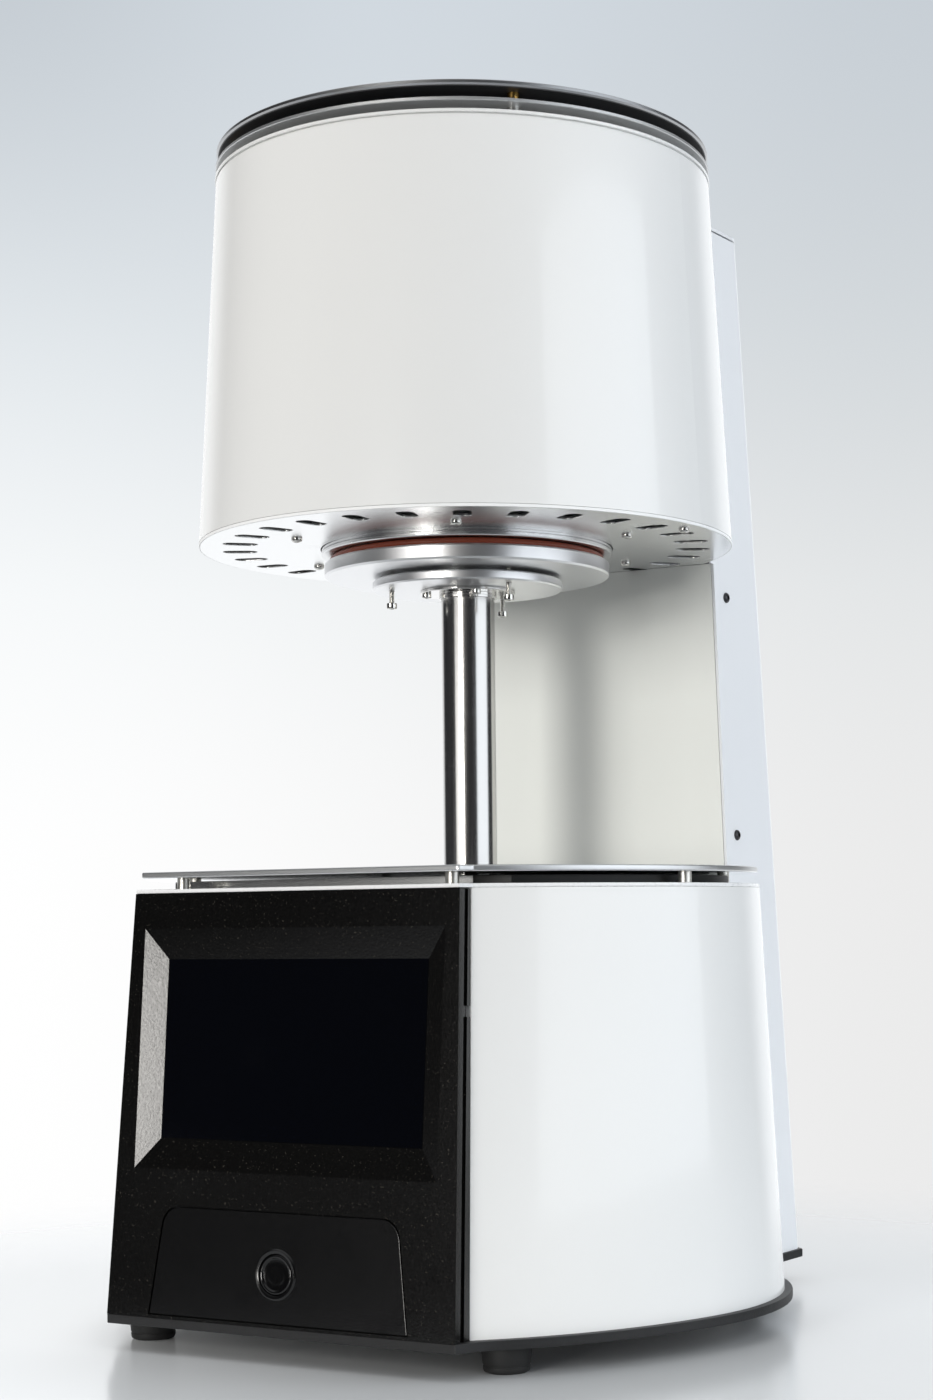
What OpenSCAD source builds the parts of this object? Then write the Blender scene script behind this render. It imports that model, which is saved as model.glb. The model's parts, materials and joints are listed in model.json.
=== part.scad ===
// Vertical-lift furnace for dental ceramics.
// The platform carries the work up a stainless tube into a heated chamber.
// Millimetres, +Z up, the screen faces -Y.

/* [Feet and base plate] */
// Height of a rubber foot
foot_h = 13; // [8:0.5:20]
// Foot radius where it meets the base plate
foot_top_r = 12; // [9:0.5:15]
// Foot radius on the table
foot_low_r = 10.8; // [8:0.1:14]
// Sideways place of the front feet
foot_front_x = 104; // [80:1:115]
// Forward place of the front feet
foot_front_y = 133; // [110:1:145]
// Sideways place of the rear feet
foot_rear_x = 84; // [60:1:88]
// Rearward place of the rear feet
foot_rear_y = 160; // [120:1:168]
// Thickness of the base plate
plate_t = 4.5; // [3:0.5:6]
// How far the base plate shows outside the housing
plate_rim = 4; // [2:0.5:5]

/* [Base housing] */
// Height of the housing, from base plate to deck
cover_h = 203; // [190:1:230]
// Wall of the housing
cover_wall = 2; // [1.5:0.1:3]
// Radius of the long side curve, at the bottom
side_r = 228.4; // [215:0.2:240]
// How much the side curve shrinks towards the deck
side_shrink = 28.4; // [20:0.2:34]
// Radius of the rear curve, at the bottom
rear_r = 134.5; // [128:0.1:140]
// How much the rear curve shrinks towards the deck
rear_shrink = 10; // [6:0.1:14]
// Sideways centre of the rear curve
rear_cx = 37.4; // [33:0.1:42]
// Centre of the rear curve, towards the screen
rear_cy = 13.8; // [8:0.1:20]
// Angle at which side curve and rear curve join
join_a = 14.85; // [10:0.05:20]
// Front edge of the housing side at the bottom, from the lift axis
side_low_y = 158.6; // [156:0.1:160]
// Front edge of the housing side at the top, from the lift axis
side_top_y = 145.2; // [143:0.1:147]
// Inner flange that carries the deck
cover_lip = 9; // [6:0.5:14]

/* [Front fascia] */
// Reach of the fascia at the bottom, from the lift axis
front_low_y = 170.6; // [168:0.1:174]
// Reach of the fascia at the top, from the lift axis
front_top_y = 154.5; // [152:0.1:157]
// Half width of the fascia at the bottom
front_low_w = 100.9; // [98:0.1:103]
// Half width of the fascia at the top
front_top_w = 95.1; // [93:0.1:97]
// Wall of the fascia moulding
fascia_wall = 3; // [2.4:0.1:4]
// Half width of the bezel
bezel_w = 88; // [84:0.5:90]
// Height of the bezel's lower edge above the base plate
bezel_low = 70.7; // [66:0.1:76]
// Height of the bezel
bezel_h = 115.7; // [108:0.1:120]
// Slope width of the bezel at its sides
bezel_side = 11.6; // [8:0.1:13]
// Slope width of the bezel above and below
bezel_rise = 14.6; // [10:0.1:16]
// Depth of the bezel
bezel_depth = 5; // [4:0.1:7]
// Thickness of the touch screen
screen_t = 8; // [5:0.1:11]
// How far the screen runs behind the bezel
screen_lap = 4; // [2:0.1:6]
// Half width of the lower panel at its foot
panel_low_w = 74.6; // [66:0.1:80]
// Half width of the lower panel at its top
panel_top_w = 67.5; // [60:0.1:72]
// Lower edge of the panel above the base plate
panel_low = 2.1; // [1.5:0.1:6]
// Height of the lower panel
panel_h = 50.9; // [44:0.1:56]
// Corner radius of the lower panel
panel_r = 10; // [4:0.5:16]
// Groove round the lower panel
panel_gap = 0.7; // [0.4:0.1:1.2]
// Thickness of the lower panel
panel_t = 2.6; // [2:0.1:3.4]

/* [Start button] */
// Height of the button above the base plate
button_up = 24.6; // [20:0.1:30]
// Radius of the ring round the button
ring_r = 12; // [10:0.1:13]
// Radius of the button cap
button_r = 9.4; // [7:0.1:9.8]
// Travel of the button
button_travel = 2; // [1:0.1:2.5]

/* [Deck and work table] */
// Thickness of the deck
deck_t = 2; // [1.5:0.1:3]
// Height of the standoffs under the table
stand_h = 5.5; // [4.5:0.1:8]
// Radius of a standoff
stand_r = 3.2; // [2.5:0.1:4]
// Thickness of the table plate
table_t = 3; // [2:0.1:4]
// Inset of the table plate from the deck
table_inset = 1; // [0.5:0.1:3]
// Height of the polished riser
riser_h = 4.2; // [3:0.1:4.6]
// Inset of the riser from the deck
riser_inset = 16; // [13:0.5:22]
// Front edge of the riser, from the lift axis
riser_front_y = 123.5; // [118:0.5:128]
// Half width of the riser's front edge
riser_front_w = 81.5; // [70:0.5:84]

/* [Lift] */
// Outer radius of the lift tube
tube_r = 14.05; // [12:0.05:16]
// Wall of the lift tube
tube_wall = 2; // [1.5:0.1:2.5]
// Travel of the lift
lift_travel = 120; // [80:1:120]
// Radius of the lead screw
screw_r = 5; // [4:0.1:6]
// Running clearance of every shaft and slide
run_gap = 0.05; // [0.03:0.01:0.08]
// Radius of the guide rod
rod_r = 4; // [3:0.1:5]
// Distance from the lift axis to the guide rod
rod_x = 38; // [34:0.5:44]
// Teeth of the pulley on the lead screw
screw_teeth = 30; // [26:1:32]
// Teeth of the pulley on the motor
motor_teeth = 16; // [14:1:20]
// Width of the drive belt
belt_w = 6; // [5:0.5:8]
// Sideways place of the motor
motor_x = 62; // [58:0.5:70]
// Rearward place of the motor
motor_y = 20; // [10:0.5:30]
// Side length of the motor
motor_w = 42; // [38:1:42]
// Length of the motor body
motor_h = 48; // [34:1:60]

/* [Platform] */
// Height of the heating head's underside above the base plate
head_up = 383.5; // [375:0.5:400]
// Radius of the platform
platform_r = 75; // [70:0.5:78]
// Thickness of the platform
platform_t = 7.7; // [6:0.1:10]
// Radius of the lower disc
lower_r = 50; // [42:0.5:60]
// Thickness of the lower disc
lower_t = 4.9; // [4:0.1:7]
// Gap between the two discs
disc_gap = 1.8; // [1:0.1:3]
// Radius of the tube collar
collar_r = 25; // [25:0.5:32]
// Thickness of the tube collar
collar_t = 1.8; // [1.6:0.1:4]
// Depth of the thin ring under the collar
collar_ring_h = 2.6; // [1.5:0.1:4]
// Radius on which the levelling screws stand
level_r = 40; // [34:0.5:44]
// Outer radius of the seal ring
seal_r = 72.3; // [66:0.1:73]
// Thickness of the seal ring's cord
seal_cord = 4; // [3:0.1:5]
// Rest gap between seal ring and flange
seal_gap = 0.3; // [0.3:0.05:0.5]
// Radius of the chamber opening
mouth_r = 50; // [46:0.5:54]

/* [Heating head] */
// Radius of the head at its underside
head_r = 140; // [134:0.5:145]
// How much the head narrows towards the top
head_shrink = 10; // [4:0.1:14]
// Height of the head's shell
head_h = 190.3; // [175:0.1:210]
// Wall of the head's shell
head_wall = 1.2; // [1:0.1:2]
// Thickness of the bottom plate
bottom_t = 1.6; // [1.2:0.1:3]
// Number of cooling slots in the bottom plate
slot_count = 28; // [16:1:32]
// Radius on which the slots lie
slot_ring_r = 119.5; // [114:0.5:124]
// Length of a slot
slot_l = 18; // [12:0.5:20]
// Width of a slot
slot_w = 9; // [5:0.5:10]
// Radius of the polished flange
flange_r = 76.5; // [74:0.1:80]
// How far the flange hangs below the head
flange_drop = 3.5; // [2.5:0.1:6]
// Outer radius of the vacuum pot
pot_r = 74; // [70:0.5:78]
// Height of the vacuum pot
pot_h = 138; // [120:1:150]
// Wall of the vacuum pot
pot_wall = 2; // [1.5:0.1:3]
// Radius of the firing chamber
chamber_r = 45.6; // [44:0.1:46]
// Height of the firing chamber
chamber_h = 78; // [60:1:90]
// Turns of the heating coil
coil_turns = 9; // [6:1:10]
// Radius of the heating wire
coil_wire = 1.8; // [1.2:0.1:2.2]
// Height of the top cover's lip
top_lip = 1.7; // [1.2:0.1:3]
// Height of the nickel spacers
nickel_h = 4.1; // [3:0.1:6]
// Thickness of the thin plate
vent_t = 1.7; // [1.2:0.1:2.5]
// Height of the brass spacers
brass_h = 5.7; // [4:0.1:8]
// Thickness of the top plate
heat_t = 2.9; // [2:0.1:4]
// Radius on which the spacers stand
spacer_ring_r = 119.5; // [112:0.5:122]

/* [Column] */
// Distance from the lift axis to the front of the column
column_y = 114; // [112:0.5:118]
// Half width of the column at the base plate
column_low_w = 101; // [98:0.1:103]
// Half width of the column at its top
column_top_w = 80.4; // [76:0.1:84]
// Rear of the column at the base plate, from the lift axis
column_low_y = 187; // [184:0.5:192]
// Rear of the column at its top, from the lift axis
column_top_y = 165.2; // [163:0.1:170]
// Height of the column above the base plate
column_h = 572.5; // [560:0.5:590]
// Sheet thickness of the column
column_wall = 1.5; // [1.2:0.1:2]
// Height of the upper side screw
screw_hi = 383; // [360:1:390]
// Height of the lower side screw
screw_lo = 251; // [240:1:280]
// Sideways place of the uprights
upright_x = 62; // [56:0.5:66]
// Side length of an upright
upright_w = 18; // [14:0.5:18]
// Height of the power inlet and the switch
inlet_up = 95; // [90:1:140]
// Sideways place of the power inlet
inlet_x = 34; // [30:1:44]
// Height of the vacuum port
port_up = 330; // [320:1:345]
// Radius of the vacuum port
port_r = 4; // [3:0.1:5]

/* [Hidden] */
$fn = 96;
tip = 0.01;
rub = 0.3;
close = 0.1;
inside = 20;
base_top = foot_h + plate_t;
deck_z = base_top + cover_h;
deck_top = deck_z + deck_t;
table_z = deck_top + stand_h;
head_z = base_top + head_up;
flange_low = head_z - flange_drop;
axis_y = (front_low_y - column_low_y) / 2;
lean = atan((front_low_y - front_top_y) / cover_h);
rear_lean = atan((column_low_y - column_top_y) / column_h);
front_len = cover_h / cos(lean);
seal_top = flange_low - seal_gap;
platform_top = seal_top - seal_cord * 0.85;
platform_low = platform_top - platform_t;
lower_top = platform_low - disc_gap;
lower_low = lower_top - lower_t;
collar_low = lower_low - collar_t;
level_at = [-145, -25, 95];
carriage_z = base_top + 142.5;
carriage_t = 10;
socket_t = 6;
tube_low = carriage_z + carriage_t - socket_t;
tube_bore = tube_r - tube_wall;
bearing_z = base_top + 2.5;
bearing_top = bearing_z + 7;
pulley_z = bearing_top + 1;
belt_z = pulley_z + 1.3;
pulley_h = belt_w + 2.6 + rub;
tooth_pitch = 3;
screw_pulley_r = screw_teeth * tooth_pitch / (2 * PI);
motor_pulley_r = motor_teeth * tooth_pitch / (2 * PI);
supply_x = -108;
supply_w = 50;
supply_l = 110;
supply_h = 60;
supply_cover_l = supply_l - 14;
bar_h = 26;
frame_ring_r = 106;
motor_z = pulley_z + pulley_h + 7;
ring_z = head_z + bottom_t;
ring_t = 4.4;
flange_top = ring_z + ring_t + 4;
shell_top = head_z + head_h;
cover_z = shell_top + 1.2;
vent_z = cover_z + top_lip + nickel_h;
heat_z = vent_z + vent_t + brass_h;
column_top = base_top + column_h;
nut_r = 8;
port_z = head_z + 122;
coil_r = chamber_r + coil_wire + 1;
hood_r = coil_r + coil_wire + 0.6;
chamber_top = flange_top + chamber_h;
post_r = 3;
barrel_r = ring_r - 1;
lead_r = 1.5;
spigot_r = 4;
hose_r = 6;
hose_bend = 12;
rocker_y = 3;
rocker_tilt = 10;
housing_r = 22;
housing_h = 48;
bush_r = tube_r + 3.4;
bush_l = 16;

// Half width of the column at a height
function column_w(z) = column_low_w + (column_top_w - column_low_w) * (z - base_top) / column_h;

// Rear of the column at a height
function column_back(z) = column_low_y + (column_top_y - column_low_y) * (z - base_top) / column_h;

// Radius of the head's shell at a height
function head_at(z) = head_r - head_shrink * (z - head_z) / head_h;

// Angle of the belt's straight runs
function belt_a() = acos((screw_pulley_r - motor_pulley_r) / norm([motor_x, motor_y]));

// A run of points along an arc
function arc(cx, cy, r, a0, a1, n) = [
  for (i = [0:n]) [cx + r * cos(a0 + (a1 - a0) * i / n), cy + r * sin(a0 + (a1 - a0) * i / n)]
];

// The points of one side mirrored to the other, in turning order
function both(p) = concat(p, [for (i = [len(p) - 1:-1:0]) [-p[i][0], p[i][1]]]);

// Centre of the side curve, on the line through the rear centre and the join
function side_cx(t) = rear_cx - (side_r - rear_r - (side_shrink - rear_shrink) * t) * cos(join_a);
function side_cy(t) = -rear_cy + (side_r - rear_r - (side_shrink - rear_shrink) * t) * sin(join_a);

// Right half of the housing's plan: t runs from bottom to top, d is an offset
function half_plan(t, d, y, w) = let (
  rs = side_r - side_shrink * t + d,
  rr = rear_r - rear_shrink * t + d,
  a0 = asin((-y - side_cy(t)) / rs),
  a1 = acos((w - rear_cx) / rr)
) concat(
  arc(side_cx(t), side_cy(t), rs, a0, -join_a, 12),
  arc(rear_cx, -rear_cy, rr, -join_a + 4, a1, 20)
);

// Moves a piece from the lift axis to the middle of the footprint
module on_axis() {
  translate([0, axis_y, 0]) children();
}

// A disc with both edges broken
module eased_disc(r, h, c) {
  rotate_extrude() polygon([[0, 0], [r - c, 0], [r, c], [r, h - c], [r - c, h], [0, h]]);
}

// A ring of square section
module ring(r_out, r_in, h) {
  difference() {
    cylinder(r = r_out, h = h);
    translate([0, 0, -1]) cylinder(r = r_in, h = h + 2);
  }
}

// The housing as a solid block, shrunk by d, from z0 to z1
module cover_block(d, z0, z1) {
  hull() {
    translate([0, 0, z0]) linear_extrude(tip)
      polygon(both(half_plan((z0 - base_top) / cover_h, -d, side_low_y + 6, column_low_w - d)));
    translate([0, 0, z1 - tip]) linear_extrude(tip)
      polygon(both(half_plan((z1 - base_top) / cover_h, -d, side_top_y + 6, column_w(deck_z) - d)));
  }
}

// The column as a solid block, grown by d, from z0 to z1, from front y to the rear
module column_block(d, y, z0, z1) {
  hull() {
    for (z = [z0, z1 - tip]) {
      translate([0, 0, z]) linear_extrude(tip) polygon(both(concat(
        [[column_w(z) + d, y]],
        arc(column_w(z) - 9, column_back(z) - 9, 9 + d, 0, 90, 6)
      )));
    }
  }
}

// A prism seen from the side, from x0 to x1
module side_prism(points, x0, x1) {
  translate([x0, 0, 0]) rotate([90, 0, 90]) linear_extrude(x1 - x0) polygon(points);
}

// A prism seen from the front, from y0 to y1
module front_prism(points, y0, y1) {
  translate([0, y1, 0]) rotate([90, 0, 0]) linear_extrude(y1 - y0) polygon(points);
}

// The frame of the leaning front: Z runs up the slope, Y runs inwards
module on_front() {
  translate([0, -front_low_y, base_top]) rotate([-lean, 0, 0]) children();
}

// Outline of the fascia, grown by d
function front_outline(d) = [
  [-front_low_w - d, -d],
  [front_low_w + d, -d],
  [front_top_w + d, front_len + d],
  [-front_top_w - d, front_len + d]
];

// Outline of the lower panel, grown by d
function panel_outline(d) = let (
  r = panel_r + d,
  top = panel_low + panel_h + d,
  s = atan((panel_low_w - panel_top_w) / panel_h),
  cx = panel_top_w + d / cos(s) + r * tan(s) - r / cos(s) - d * tan(s)
) both(concat(
  [[panel_low_w + d / cos(s) + d * tan(s), panel_low - d]],
  arc(cx, top - r, r, s, 90, 8)
));

// A four-sided funnel from the front face to depth y, grown by d
module funnel(d, y) {
  k = y / bezel_depth;
  intersection() {
    translate([0, 0, bezel_low - d]) linear_extrude(bezel_h + 2 * d) polygon([
      [-bezel_w - d, 0],
      [bezel_w + d, 0],
      [bezel_w + d - bezel_side * k, y],
      [-bezel_w - d + bezel_side * k, y]
    ]);
    side_prism([
      [0, bezel_low - d],
      [y, bezel_low - d + bezel_rise * k],
      [y, bezel_low + bezel_h + d - bezel_rise * k],
      [0, bezel_low + bezel_h + d]
    ], -bezel_w - d - 1, bezel_w + d + 1);
  }
}

// Plan of deck, riser and table: the housing's top, shrunk by d
function top_plan(d, y, w) = half_plan(1, -d, y, w);

// Places for the six standoffs
stand_places = [
  [79.5, -137],
  [rear_cx + (rear_r - rear_shrink - 8) * cos(14), -rear_cy - (rear_r - rear_shrink - 8) * sin(14)],
  [rear_cx + (rear_r - rear_shrink - 8) * cos(52), -rear_cy + (rear_r - rear_shrink - 8) * sin(52)]
];

// Repeats a piece at every standoff
module at_stands() {
  for (p = stand_places, s = [-1, 1]) translate([s * p[0], p[1], 0]) children();
}

// The mouth that the lift tube passes through
module tube_hole(gap, z0, z1) {
  translate([0, 0, z0]) cylinder(r = tube_r + gap, h = z1 - z0);
}

// Which piece to draw

// Steel plate under the whole furnace, with air slots below the power supply
module base_plate() {
  color("#1c1d20") on_axis() translate([0, 0, foot_h]) difference() {
    linear_extrude(plate_t) union() {
      polygon(both(concat(
        [[front_low_w, -front_low_y]],
        half_plan(0, plate_rim, side_low_y, column_low_w)
      )));
      polygon(both([
        [column_low_w + 2, column_y - inside],
        [column_low_w + 2, column_low_y - 5],
        [column_low_w - 3, column_low_y]
      ]));
    }
    for (i = [0:5]) translate([supply_x, -60 + i * 14, plate_t / 2]) cube([36, 5, plate_t + 2], center = true);
  }
}

// Four tapered rubber feet with a rounded tread
module rubber_feet() {
  color("#101010") on_axis() {
    for (p = [[foot_front_x, -foot_front_y], [foot_rear_x, foot_rear_y]], s = [-1, 1]) {
      translate([s * p[0], p[1], 0]) rotate_extrude() polygon(concat(
        [[0, 1.5], [3, 1.5], [3, 0], [foot_low_r - 1.5, 0]],
        arc(foot_low_r - 1.5, 1.5, 1.5, -60, 0, 3),
        [[foot_top_r, foot_h], [0, foot_h]]
      ));
    }
  }
}

// Tapering housing round the base, open in front, below and to the column
module base_cover() {
  color("#f2f3f5") on_axis() difference() {
    cover_block(0, base_top, deck_z);
    cover_block(cover_wall, base_top - 0.5, deck_z - cover_wall);
    translate([0, 0, deck_z - cover_wall - 1]) linear_extrude(cover_wall + 2)
      polygon(both(half_plan(1, -cover_lip, side_top_y - cover_lip, column_w(deck_z) - cover_lip)));
    side_prism([
      [-side_low_y, base_top - 2],
      [-side_top_y, deck_z + 2],
      [-front_low_y - 60, deck_z + 2],
      [-front_low_y - 60, base_top - 2]
    ], -front_low_w - 60, front_low_w + 60);
    column_block(rub, 40, base_top - 2, deck_z + 2);
  }
}

// Flat top of the base, closing fascia, housing and column
module base_deck() {
  color("#f4f5f7") on_axis() translate([0, 0, deck_z]) difference() {
    linear_extrude(deck_t) polygon(both(concat(
      [[front_top_w, -front_top_y]],
      top_plan(0, side_top_y, column_w(deck_z)),
      [[column_w(deck_z), column_y - rub]]
    )));
    tube_hole(2, -1, deck_t + 1);
  }
}

// Leaning front moulding with bezel, panel seat and side channels
module front_fascia() {
  color("#17181a") on_axis() difference() {
    intersection() {
      on_front() union() {
        difference() {
          front_prism(front_outline(0), 0, 16);
          front_prism(front_outline(-fascia_wall), fascia_wall, 17);
        }
        funnel(fascia_wall - 0.5, bezel_depth);
        front_prism(panel_outline(4), 0.5, panel_t + 2);
      }
      side_prism([
        [-front_low_y - 5, base_top],
        [-front_top_y - 5, deck_z],
        [-side_top_y - rub, deck_z],
        [-side_low_y - rub, base_top]
      ], -front_low_w - 5, front_low_w + 5);
    }
    on_front() {
      translate([0, -tip, 0]) funnel(0, bezel_depth + 0.02);
      translate([-bezel_w + bezel_side, 1, bezel_low + bezel_rise])
        cube([2 * (bezel_w - bezel_side), 9, bezel_h - 2 * bezel_rise]);
      front_prism(panel_outline(panel_gap), -1, panel_t + 0.05);
      translate([0, -1, button_up]) rotate([-90, 0, 0]) cylinder(r = barrel_r + close, h = 9);
      for (s = [-1, 1]) {
        front_prism([
          [s * (front_low_w - 1), -2],
          [s * (front_low_w + 9), -2],
          [s * (front_top_w + 9), front_len + 2],
          [s * (front_top_w - 1), front_len + 2]
        ], 4, 7);
        translate([s * front_top_w, 11, 148]) cube([12, 8, 5], center = true);
      }
    }
  }
}

// Lower panel with rounded top corners, set in its groove
module switch_panel() {
  color("#141517") on_axis() on_front() difference() {
    front_prism(panel_outline(0), 0, panel_t);
    translate([0, -1, button_up]) rotate([-90, 0, 0]) cylinder(r = barrel_r + close, h = 9);
  }
}

// Bonded touch screen: black glass in front, metal display body behind
module touch_screen() {
  w = bezel_w - bezel_side + screen_lap;
  low = bezel_low + bezel_rise - screen_lap;
  h = bezel_h - 2 * bezel_rise + 2 * screen_lap;
  color("#050608") on_axis() on_front() union() {
    translate([-w, bezel_depth + close, low]) cube([2 * w, 1.8, h]);
    translate([-w + 2, bezel_depth + close + 1.8, low + 2]) cube([2 * w - 4, screen_t - 1.8, h - 4]);
  }
}

// Control board on six posts behind the screen
module control_board() {
  y0 = bezel_depth + close + screen_t;
  low = bezel_low + bezel_rise + 4;
  color("#1d5a34") on_axis() on_front() translate([0, y0, low]) union() {
    translate([-66, 12, 0]) cube([132, 1.6, 74]);
    for (x = [-60, 0, 60], z = [12, 62]) translate([x, 0, z]) rotate([-90, 0, 0]) cylinder(r = 2.5, h = 12.2, $fn = 6);
    for (x = [-48, -28, -8, 12]) translate([x, 13, 2]) cube([14, 9, 8]);
    translate([-30, 13, 30]) cube([18, 2.4, 18]);
    translate([14, 13, 26]) cube([30, 14, 24]);
    for (x = [-52, -42]) translate([x, 13, 44]) rotate([-90, 0, 0]) cylinder(r = 4, h = 16, $fn = 32);
  }
}

// Start button: dished cap on a stem
module power_button() {
  color("#161719") on_axis() on_front() translate([0, 0, button_up]) rotate([-90, 0, 0]) rotate_extrude() polygon([
    [0, 0.9],
    [button_r * 0.35, 0.78],
    [button_r * 0.7, 0.4],
    [button_r * 0.9, 0],
    [button_r - 0.3, -0.1],
    [button_r, 0.2],
    [button_r, 5],
    [3, 5],
    [3, 16],
    [0, 16]
  ]);
}

// Push-button housing: ring, barrel through the panel, switch body behind
module button_housing() {
  color("#2a2b2e") on_axis() on_front() translate([0, 0, button_up]) difference() {
    union() {
      rotate([-90, 0, 0]) rotate_extrude() polygon([
        [0, 11.5],
        [button_r + rub, 11.5],
        [button_r + rub, -0.5],
        [button_r + rub + 0.4, -0.9],
        [ring_r - 0.8, -0.9],
        [ring_r, -0.3],
        [ring_r, -0.02],
        [barrel_r, -0.02],
        [barrel_r, 13],
        [0, 13]
      ]);
      translate([-10, 12.5, -10]) cube([20, 11, 20]);
      for (x = [-6, -2, 2, 6]) translate([x - 0.4, 23, -1.5]) cube([0.8, 5, 3]);
    }
    translate([0, 11, 0]) rotate([-90, 0, 0]) cylinder(r = 3 + rub, h = 10);
  }
}

// Aluminium work table over the deck
module table_plate() {
  color("#b9bcc0") on_axis() translate([0, 0, table_z]) difference() {
    linear_extrude(table_t) polygon(both(concat(
      arc(front_top_w - 3.5, -front_top_y + table_inset + 4, 3, -90, -45, 3),
      top_plan(table_inset, side_top_y - 1, column_w(deck_z)),
      [[column_w(deck_z) - 2, column_y - 1]]
    )));
    tube_hole(1.5, -1, table_t + 1);
  }
}

// Six standoffs between deck and table
module table_standoffs() {
  color("#d9dadb") on_axis() translate([0, 0, deck_top]) at_stands() eased_disc(stand_r, stand_h, 0.2);
}

// Polished tray between deck and table that sheds the heat
module deck_riser() {
  color("#8c8f93") on_axis() translate([0, 0, deck_top]) difference() {
    linear_extrude(riser_h) polygon(both(concat(
      [[riser_front_w, -riser_front_y]],
      top_plan(riser_inset, riser_front_y - 5, column_w(deck_z) - 10),
      [[column_w(deck_z) - 10, column_y - 3]]
    )));
    tube_hole(3, -1, riser_h + 1);
  }
}

// Flanged housing under the deck that holds the tube's bushes and the rod
module guide_housing() {
  color("#c3c6ca") on_axis() difference() {
    union() {
      translate([0, 0, deck_z - housing_h]) cylinder(r = housing_r, h = housing_h);
      translate([0, 0, deck_z - 6]) cylinder(r = housing_r + 9, h = 6);
      translate([-rod_x - 9, -11, deck_z - 6]) cube([rod_x + 9, 22, 6]);
    }
    translate([0, 0, deck_z - housing_h - 1]) cylinder(r = bush_r + close, h = housing_h + 2);
    translate([-rod_x, 0, deck_z - 7]) cylinder(r = rod_r + close, h = 8);
  }
}

// Two plain bushes that the lift tube runs in
module guide_bushes() {
  color("#b98a3c") on_axis() {
    for (z = [deck_z - housing_h, deck_z - bush_l]) {
      translate([0, 0, z]) ring(bush_r, tube_r + run_gap, bush_l);
    }
  }
}

// Stainless lift tube
module lift_tube() {
  color("#c9cbce") on_axis() translate([0, 0, tube_low]) ring(tube_r, tube_bore, lower_top - tube_low);
}

// Collar that carries the discs on the tube
module tube_collar() {
  color("#d5d7da") on_axis() translate([0, 0, collar_low]) difference() {
    union() {
      eased_disc(collar_r, collar_t, 0.4);
      translate([0, 0, -collar_ring_h]) ring(tube_r + 1.2, tube_r + close, collar_ring_h + 0.4);
    }
    tube_hole(close, -5, collar_t + 1);
    for (a = [45:90:315]) rotate(a) translate([22, 0, -1]) cylinder(r = 1.7, h = collar_t + 2);
  }
}

// Lower disc of the platform
module lower_disc() {
  color("#dfe0e2") on_axis() translate([0, 0, lower_low]) difference() {
    eased_disc(lower_r, lower_t, 0.8);
    tube_hole(close, -1, lower_t + 1);
    for (a = [45:90:315]) rotate(a) translate([22, 0, -1]) cylinder(r = 1.7, h = 4.4);
    for (a = level_at) rotate(a) translate([level_r, 0, -1]) cylinder(r = 1.7, h = lower_t + 2);
  }
}

// Platform with its seal groove and the spigot to the lower disc
module platform_disc() {
  color("#e4e5e7") on_axis() translate([0, 0, platform_low]) difference() {
    union() {
      eased_disc(platform_r, platform_t, 1);
      translate([0, 0, -disc_gap]) cylinder(r = 24, h = disc_gap + 1);
    }
    translate([0, 0, platform_t - seal_cord * 0.15]) ring(seal_r + close, seal_r - seal_cord - close, seal_cord);
    for (a = level_at) rotate(a) translate([level_r, 0, -1]) cylinder(r = 1.7, h = 5);
  }
}

// Silicone ring that seals platform and flange
module seal_ring() {
  color("#8e3a28") on_axis() translate([0, 0, seal_top - seal_cord / 2]) rotate_extrude()
    translate([seal_r - seal_cord / 2, 0]) circle(r = seal_cord / 2);
}

// Three long levelling screws and four collar screws
module platform_screws() {
  color("#cfd0d2") on_axis() {
    for (a = level_at) rotate(a) translate([level_r, 0, 0]) difference() {
      union() {
        translate([0, 0, lower_low - 9.4]) cylinder(r = 2.7, h = 3);
        translate([0, 0, lower_low - 6.5]) cylinder(r = 1.5, h = 6.5 + lower_t + disc_gap + 3.6);
      }
      translate([0, 0, lower_low - 9.5]) cylinder(r = 1.3, h = 1.7, $fn = 6);
    }
    for (a = [45:90:315]) rotate(a) translate([22, 0, 0]) difference() {
      union() {
        translate([0, 0, collar_low - 2.4]) cylinder(r = 2.4, h = 2.4 - 0.02);
        translate([0, 0, collar_low - 0.1]) cylinder(r = 1.5, h = collar_t + 3);
      }
      translate([0, 0, collar_low - 2.5]) cylinder(r = 1.15, h = 1.3, $fn = 6);
    }
  }
}

// Insulating pedestal that closes the chamber
module firing_pedestal() {
  color("#f3efe6") on_axis() translate([0, 0, platform_top]) union() {
    eased_disc(mouth_r - 2.5, 12, 0.8);
    translate([0, 0, 11]) eased_disc(chamber_r - 2.2, flange_top - platform_top - 11 + 2, 0.6);
  }
}

// Round ceramic tray with a raised rim
module firing_tray() {
  r = chamber_r - 5;
  color("#e9e2d2") on_axis() translate([0, 0, flange_top + 2]) rotate_extrude() polygon([
    [0, 0],
    [r - 1, 0],
    [r, 1],
    [r, 5.5],
    [r - 2.5, 5.5],
    [r - 3.5, 3],
    [0, 3]
  ]);
}

// Carriage at the foot of the tube, guided by the rod
module nut_carriage() {
  color("#aeb1b6") on_axis() translate([0, 0, carriage_z]) difference() {
    union() {
      cylinder(r = tube_r + 6, h = carriage_t);
      translate([-rod_x, -9, 0]) cube([rod_x, 18, carriage_t]);
      translate([-rod_x, 0, 0]) cylinder(r = rod_r + 5, h = carriage_t);
    }
    translate([0, 0, carriage_t - socket_t]) cylinder(r = tube_r + close, h = socket_t + 1);
    translate([0, 0, -1]) cylinder(r = nut_r + close, h = carriage_t);
    translate([-rod_x, 0, -1]) cylinder(r = rod_r + run_gap, h = carriage_t + 2);
  }
}

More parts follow.
